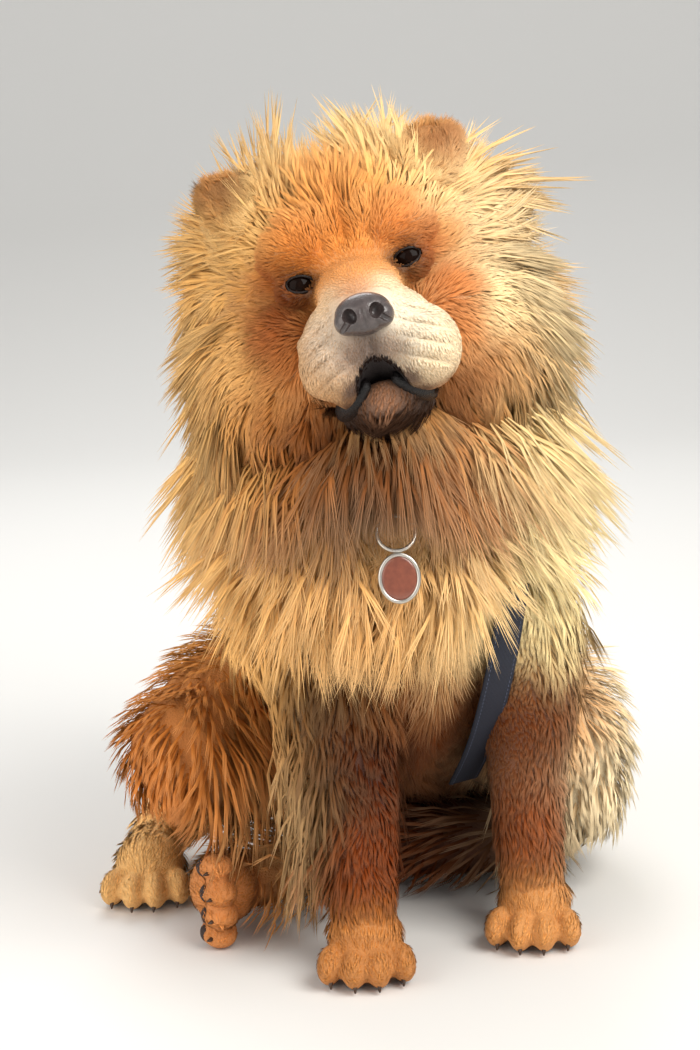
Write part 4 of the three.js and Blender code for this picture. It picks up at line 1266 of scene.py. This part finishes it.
def makeNose():
    middle, wing, nostril = nosePad["middle"], nosePad["wing"], nosePad["nostril"]
    turnY, turnZ = nostril["turn"][1:]
    pad = [egg(middle["at"], middle["radii"], pose=headMatrix)]
    pad += [egg(onSide(s, wing["at"]), wing["radii"], pose=headMatrix) for s in (-1, 1)]
    nostrils = [egg(onSide(s, nostril["at"]), nostril["radii"], (0, s * turnY, s * turnZ), pose=headMatrix)
                for s in (-1, 1)]
    nostrils += mirrored(nosePad["slit"], 12)
    nose = fusedPiece("nosePad", pad, nosePad["voxel"], nosePad["smoothing"], nostrils)
    points = transformed(modelPoints(nose.data), headInverse)
    groove = bump(points[:, 0], 0, 1.2) * softStep(points[:, 1], -74, -78) * softStep(points[:, 2], -32, -38)
    points[:, 1] += nosePad["groove"] * groove
    setModelPoints(nose.data, transformed(points, headMatrix))
    finish = darkSkinMaterial("noseSkin", (30, 24, 24), (88, 76, 74), 0.3, 1100, 0.5, 0.9)
    finishPiece(nose, finish, ["nose"])
    print("nose made")


def makeLips():
    finish = darkSkinMaterial("lipSkin", (5, 4, 4), (20, 13, 12), 0.5, 700, 0.9, 0.08)
    piece = fusedPiece("lips", mirrored(lips["stations"], 16), lips["voxel"], lips["smoothing"])
    finishPiece(piece, finish)
    print("lips made")


# A claw's stations, as places behind and above the toe's front, with their half widths and half depths.
claw = [(7, -6, 2, 2.2), (3, -9, 1.6, 1.8), (1, -12, 0.7, 0.8)]


def makeClaws():
    material = darkSkinMaterial("clawHorn", (40, 28, 22), (84, 62, 48), 0.35, 300, 0.15)
    for pawName, paw in paws.items():
        limbName, side = pawName.split("_")
        pose = pawMatrix(paw)
        for i, toe in enumerate(toes):
            x, y, z = toe["at"]
            rootY = y - toe["radii"][1] * 0.8
            shape = limb([(x, rootY + behind, z + above, wide, deep) for behind, above, wide, deep in claw],
                         pose=pose, sides=12, steps=10, dome=3)
            name = f"{limbName}_claw_{side}_{i + 1}"
            addPiece(f"horn_{name}", meshFrom(name, [shape]), material, [name])
    print("claws made")


# Soles: one broad pad and a small one under each toe, which show on the foot that lies on its side.
pads = {"sole": {"at": (0, 6, 6), "radii": (15, 12, 6)},
        "toe": {"behind": 1, "height": 5.5, "radii": (6.5, 8, 5)}}


def makePads():
    material = darkSkinMaterial("padSkin", (30, 22, 20), (70, 52, 46), 0.6, 500, 0.8)
    sole, small = pads["sole"], pads["toe"]
    for name, paw in paws.items():
        pose = pawMatrix(paw)
        shapes = [egg(sole["at"], sole["radii"], pose=pose)]
        for toe in toes:
            x, y = toe["at"][:2]
            shapes.append(egg((x, y + small["behind"], small["height"]), small["radii"], pose=pose))
        addPiece(f"pads_{name}", meshFrom("pads", shapes), material)
    print("pads made")


def webbingMaterial():
    material, tree, shader = newMaterial("navyWebbing", {"Roughness": 0.75})
    place = addNode(tree, "ShaderNodeUVMap", uv_map="weave").outputs[0]
    across, along = (addNode(tree, "ShaderNodeTexWave", {"Vector": place, "Scale": 1.0, "Distortion": 0.0},
                             bands_direction=axis).outputs["Fac"] for axis in ("X", "Y"))
    weave = addNode(tree, "ShaderNodeMath", {0: across, 1: along}, operation="MULTIPLY").outputs[0]
    shade = mixColours(tree, weave, colour(13, 17, 30), colour(40, 48, 70))
    tree.links.new(shade, shader.inputs["Base Color"])
    addBump(tree, shader, weave, 0.6, 0.0006)
    return material


# Threads are counted across the webbing and along it.
strap = {"width": 25, "thickness": 2.4, "across": (0.88, 0.47, 0), "rings": 60, "threads": (50, 120)}
stitch = {"Spacing": 4, "Length": 2.8, "Thickness": 0.5}
stitchInset = 3


def ribbonSection(width, thickness, edge=0.8):
    w, t = width / 2, thickness / 2
    return np.array([(-w, -t + edge), (-w + edge, -t), (w - edge, -t), (w, -t + edge),
                     (w, t - edge), (w - edge, t), (-w + edge, t), (-w, t - edge)])


# Lays a weave map along a ribbon: U across and V along, counted in threads.
def mapWeave(mesh, around, band):
    layer = mesh.uv_layers.new(name="weave")
    rings, (threadsAcross, threadsAlong) = band["rings"], band["threads"]
    for polygon in mesh.polygons:
        for corner in polygon.loop_indices:
            ring, place = divmod(mesh.loops[corner].vertex_index, around)
            layer.data[corner].uv = (place / around * threadsAcross, ring / rings * threadsAlong)


def makeStrap(webbing):
    path = np.array([splineAt(strapPath, t) for t in np.linspace(0, 1, strap["rings"])])
    section = ribbonSection(strap["width"], strap["thickness"])
    mesh = meshFrom("webStrap", [sweep(path, section, strap["across"])])
    mapWeave(mesh, len(section), strap)
    addPiece("webStrap", mesh, webbing, ["strap"])
    return path


# Two rows of stitches on each face of the strap, one thread bead to a stitch.
def makeStitches(path):
    ahead = unit(np.gradient(path, axis=0))
    side = unit(np.array(strap["across"]) - ahead * (ahead @ np.array(strap["across"]))[:, None])
    up = np.cross(ahead, side)
    threads = bpy.data.curves.new("stitchLines", "CURVE")
    threads.dimensions = "3D"
    for s in (-1, 1):
        line = path + side * s * (strap["width"] / 2 - stitchInset)
        for face in (-1, 1):
            places = transformed(line + up * face * strap["thickness"] / 2, placeMatrix)
            spline = threads.splines.new("POLY")
            spline.points.add(len(places) - 1)
            spline.points.foreach_set("co", np.hstack([places, np.ones((len(places), 1))]).ravel())
    piece = linked("strapStitches", threads)
    tree = bpy.data.node_groups.new("sewStitches", "GeometryNodeTree")
    tree.interface.new_socket("Geometry", in_out="INPUT", socket_type="NodeSocketGeometry")
    for name, value in stitch.items():
        socket = tree.interface.new_socket(name, in_out="INPUT", socket_type="NodeSocketFloat")
        socket.default_value = value * millimetre
    tree.interface.new_socket("Material", in_out="INPUT", socket_type="NodeSocketMaterial")
    tree.interface.new_socket("Geometry", in_out="OUTPUT", socket_type="NodeSocketGeometry")
    given = addNode(tree, "NodeGroupInput").outputs
    spots = addNode(tree, "GeometryNodeCurveToPoints",
                    {"Curve": given["Geometry"], "Length": given["Spacing"]}, mode="LENGTH")
    bead = addNode(tree, "GeometryNodeMeshUVSphere", {"Segments": 8, "Rings": 6, "Radius": 0.5})
    size = addNode(tree, "ShaderNodeCombineXYZ", {"X": given["Thickness"], "Y": given["Thickness"],
                                                 "Z": given["Length"]})
    sewn = addNode(tree, "GeometryNodeInstanceOnPoints",
                   {"Points": spots.outputs["Points"], "Instance": bead.outputs["Mesh"],
                    "Rotation": spots.outputs["Rotation"], "Scale": size.outputs[0]})
    real = addNode(tree, "GeometryNodeRealizeInstances", {"Geometry": sewn.outputs[0]})
    finished = addNode(tree, "GeometryNodeSetMaterial",
                       {"Geometry": real.outputs[0], "Material": given["Material"]})
    addNode(tree, "NodeGroupOutput", {"Geometry": finished.outputs[0]})
    sew = piece.modifiers.new("Sew", "NODES")
    sew.node_group = tree
    thread = darkSkinMaterial("stitchThread", (70, 78, 100), (104, 112, 136), 0.7, 2000, 0.2)
    for item in tree.interface.items_tree:
        if item.in_out == "INPUT" and item.name == "Material":
            sew[item.identifier] = thread
    depsgraph = bpy.context.evaluated_depsgraph_get()
    mesh = bpy.data.meshes.new_from_object(piece.evaluated_get(depsgraph), depsgraph=depsgraph)
    bpy.data.objects.remove(piece)
    addPiece("strapStitching", mesh, thread)
    print("strap made")


def makeCollar(webbing):
    t = np.interp(collar["height"], [350, 460], [1, 0])
    centre = splineAt(np.array(neckStations)[:, :3], t)
    wide, deep = splineAt(np.array(neckStations)[:, 3:], t) + (collar["inner"] + collar["outer"]) / 2
    turns = np.linspace(0, 2 * math.pi, collar["rings"], endpoint=False)
    path = np.stack([centre[0] + wide * np.cos(turns), centre[1] + deep * np.sin(turns),
                     np.full(len(turns), collar["height"])], 1)
    section = ribbonSection(2 * collar["halfWidth"], collar["outer"] - collar["inner"])
    mesh = meshFrom("webCollar", [sweep(path, section, (0, 0, 1), closed=True)])
    mapWeave(mesh, len(section), collar)
    addPiece("webCollar", mesh, webbing, ["collar"])
    print("collar made")


def steelMaterial():
    material, tree, shader = newMaterial("wornSteel", {"Base Color": (*colour(196, 192, 184), 1),
                                                       "Metallic": 1.0})
    rough = rangeOver(tree, noiseOver(tree, objectPlace(tree), 900.0, 4.0), toMin=0.2, toMax=0.42)
    tree.links.new(rough, shader.inputs["Roughness"])
    return material


def enamelMaterial():
    material, tree, shader = newMaterial("tagEnamel", {"Roughness": 0.3, "Coat Weight": 0.8,
                                                       "Coat Roughness": 0.08})
    noise = noiseOver(tree, objectPlace(tree), 260.0, 5.0)
    shade = mixColours(tree, noise, colour(92, 40, 26), colour(140, 74, 48))
    tree.links.new(shade, shader.inputs["Base Color"])
    return material


# The tag's dome is given from its middle outward, as a share of its outline and a height.
tag = {"halfWidth": 14, "halfHeight": 17, "rim": 1.5, "tilt": -8, "flatness": 0.75,
       "dome": [(0.03, 1.9), (0.45, 1.75), (0.8, 1.3), (0.97, 0.7)]}
splitRing = {"radius": 13, "wire": 1.4, "tilt": 54, "fromTag": (-1, 10.5, 29)}


def makeTag():
    steel, enamel = steelMaterial(), enamelMaterial()
    pose = Matrix.Translation(tagCentre) @ Matrix.Rotation(math.radians(tag["tilt"]), 4, "X")
    turns = np.linspace(0, 2 * math.pi, 64, endpoint=False)
    outline = np.stack([tag["halfWidth"] * np.cos(turns), np.zeros(64), tag["halfHeight"] * np.sin(turns)], 1)
    inset = 1 - tag["rim"] / tag["halfWidth"] * 0.5
    profile = [(share, -out) for share, out in tag["dome"]] + tag["dome"][::-1]
    plate, faces = skinRings([outline * share * inset + np.array([0, out * tag["flatness"], 0])
                              for share, out in profile])
    mesh = meshFrom("tagPlate", [(transformed(plate, pose), faces)])
    addPiece("tagPlate", mesh, enamel, ["tag"])
    rim, faces = sweep(outline * inset, circle(tag["rim"], 12), (0, 1, 0), closed=True)
    mesh = meshFrom("tagRim", [(transformed(rim, pose), faces)])
    addPiece("tagRim", mesh, steel)
    ringPose = (Matrix.Translation(Vector(tagCentre) + Vector(splitRing["fromTag"]))
                @ Matrix.Rotation(math.radians(splitRing["tilt"]), 4, "X"))
    loop = np.hstack([circle(splitRing["radius"], 64), np.zeros((64, 1))])
    ring, faces = sweep(loop, circle(splitRing["wire"], 12), (0, 0, 1), closed=True)
    mesh = meshFrom("splitRing", [(transformed(ring, ringPose), faces)])
    addPiece("splitRing", mesh, steel, ["tag_ring"])
    print("tag made")


# The camera stands where the photographer did. Its lens is the photograph's, in pixels of its height.
view = {"place": (0, -1520, 660), "down": 12, "turn": 2.5, "lensPixels": 2250, "photoHeight": 1050,
        "sensor": 36}


def makeCamera():
    camera = bpy.data.cameras.new("camera")
    camera.lens = view["lensPixels"] / view["photoHeight"] * view["sensor"]
    camera.sensor_width = view["sensor"]
    camera.clip_end = 20
    rig = linked("camera", camera)
    rig.matrix_world = (Matrix.Translation(placeMatrix @ Vector(view["place"]))
                        @ Matrix.Rotation(math.radians(90 - view["down"]), 4, "X")
                        @ Matrix.Rotation(math.radians(-view["turn"]), 4, "Z"))
    bpy.context.scene.camera = rig


# Places are in metres, and the lamps aim at the middle of the dog.
lights = {
    "key": {"place": (1.35, -1.3, 1.9), "size": 1.7, "power": 74, "warmth": (1, 0.97, 0.92)},
    "fill": {"place": (-1.8, -1.2, 1.0), "size": 2.4, "power": 34, "warmth": (1, 0.95, 0.88)},
    "rim": {"place": (-0.3, 1.6, 1.9), "size": 1.4, "power": 26, "warmth": (1, 1, 1)},
}
lampAim = (0, 0, 0.35)
studio = {"front": -6, "back": 2, "sweep": 2, "top": 9, "halfWidth": 9, "floor": (0.72, 0.71, 0.69),
          "sky": (0.86, 0.88, 0.9), "skyPower": 0.62}


def makeStudio():
    floor = bpy.data.meshes.new("floor")
    # The floor sweeps up behind the dog into a wall.
    back, sweepRadius = studio["back"], studio["sweep"]
    turns = np.linspace(0, math.pi / 2, 24)
    profile = [(studio["front"], 0)]
    profile += [(back + sweepRadius * math.sin(t), sweepRadius - sweepRadius * math.cos(t)) for t in turns]
    profile.append((back + sweepRadius, studio["top"]))
    edge = [(x, y, z) for y, z in profile for x in (studio["halfWidth"], -studio["halfWidth"])]
    floor.from_pydata(edge, [], [(i, i + 1, i + 3, i + 2) for i in range(0, len(edge) - 2, 2)])
    shadeSmooth(floor)
    material = newMaterial("paleFloor", {"Base Color": (*studio["floor"], 1), "Roughness": 0.8})[0]
    floor.materials.append(material)
    linked("floor", floor)
    for name, given in lights.items():
        lamp = bpy.data.lights.new(name, "AREA")
        lamp.size = given["size"]
        lamp.energy = given["power"]
        lamp.color = given["warmth"]
        place = Vector(given["place"])
        facing = (place - Vector(lampAim)).to_track_quat("Z", "Y").to_matrix().to_4x4()
        linked(name, lamp).matrix_world = Matrix.Translation(place) @ facing
    world = bpy.data.worlds.new("studio")
    world.use_nodes = True
    background = world.node_tree.nodes["Background"]
    background.inputs["Color"].default_value = (*studio["sky"], 1)
    background.inputs["Strength"].default_value = studio["skyPower"]
    bpy.context.scene.world = world
    bpy.context.scene.view_settings.view_transform = "Standard"
    print("camera and studio made")


makeCamera()
makeStudio()
skinPiece = makeSkin()
makeCoat(skinPiece)
fleshNodes = ["head", "neck", "torso", "tail_base", "tail_curl"]
for side in bothSides:
    fleshNodes += [f"{kind}_{side}"
                   for kind in ("ear", "front_leg", "front_paw", "thigh", "hind_paw", "hind_shank")]
finishPiece(skinPiece, skinMaterial(), fleshNodes)
makeEyes()
makeNose()
makeLips()
makeClaws()
makePads()
webbing = webbingMaterial()
makeStitches(makeStrap(webbing))
makeCollar(webbing)
makeTag()
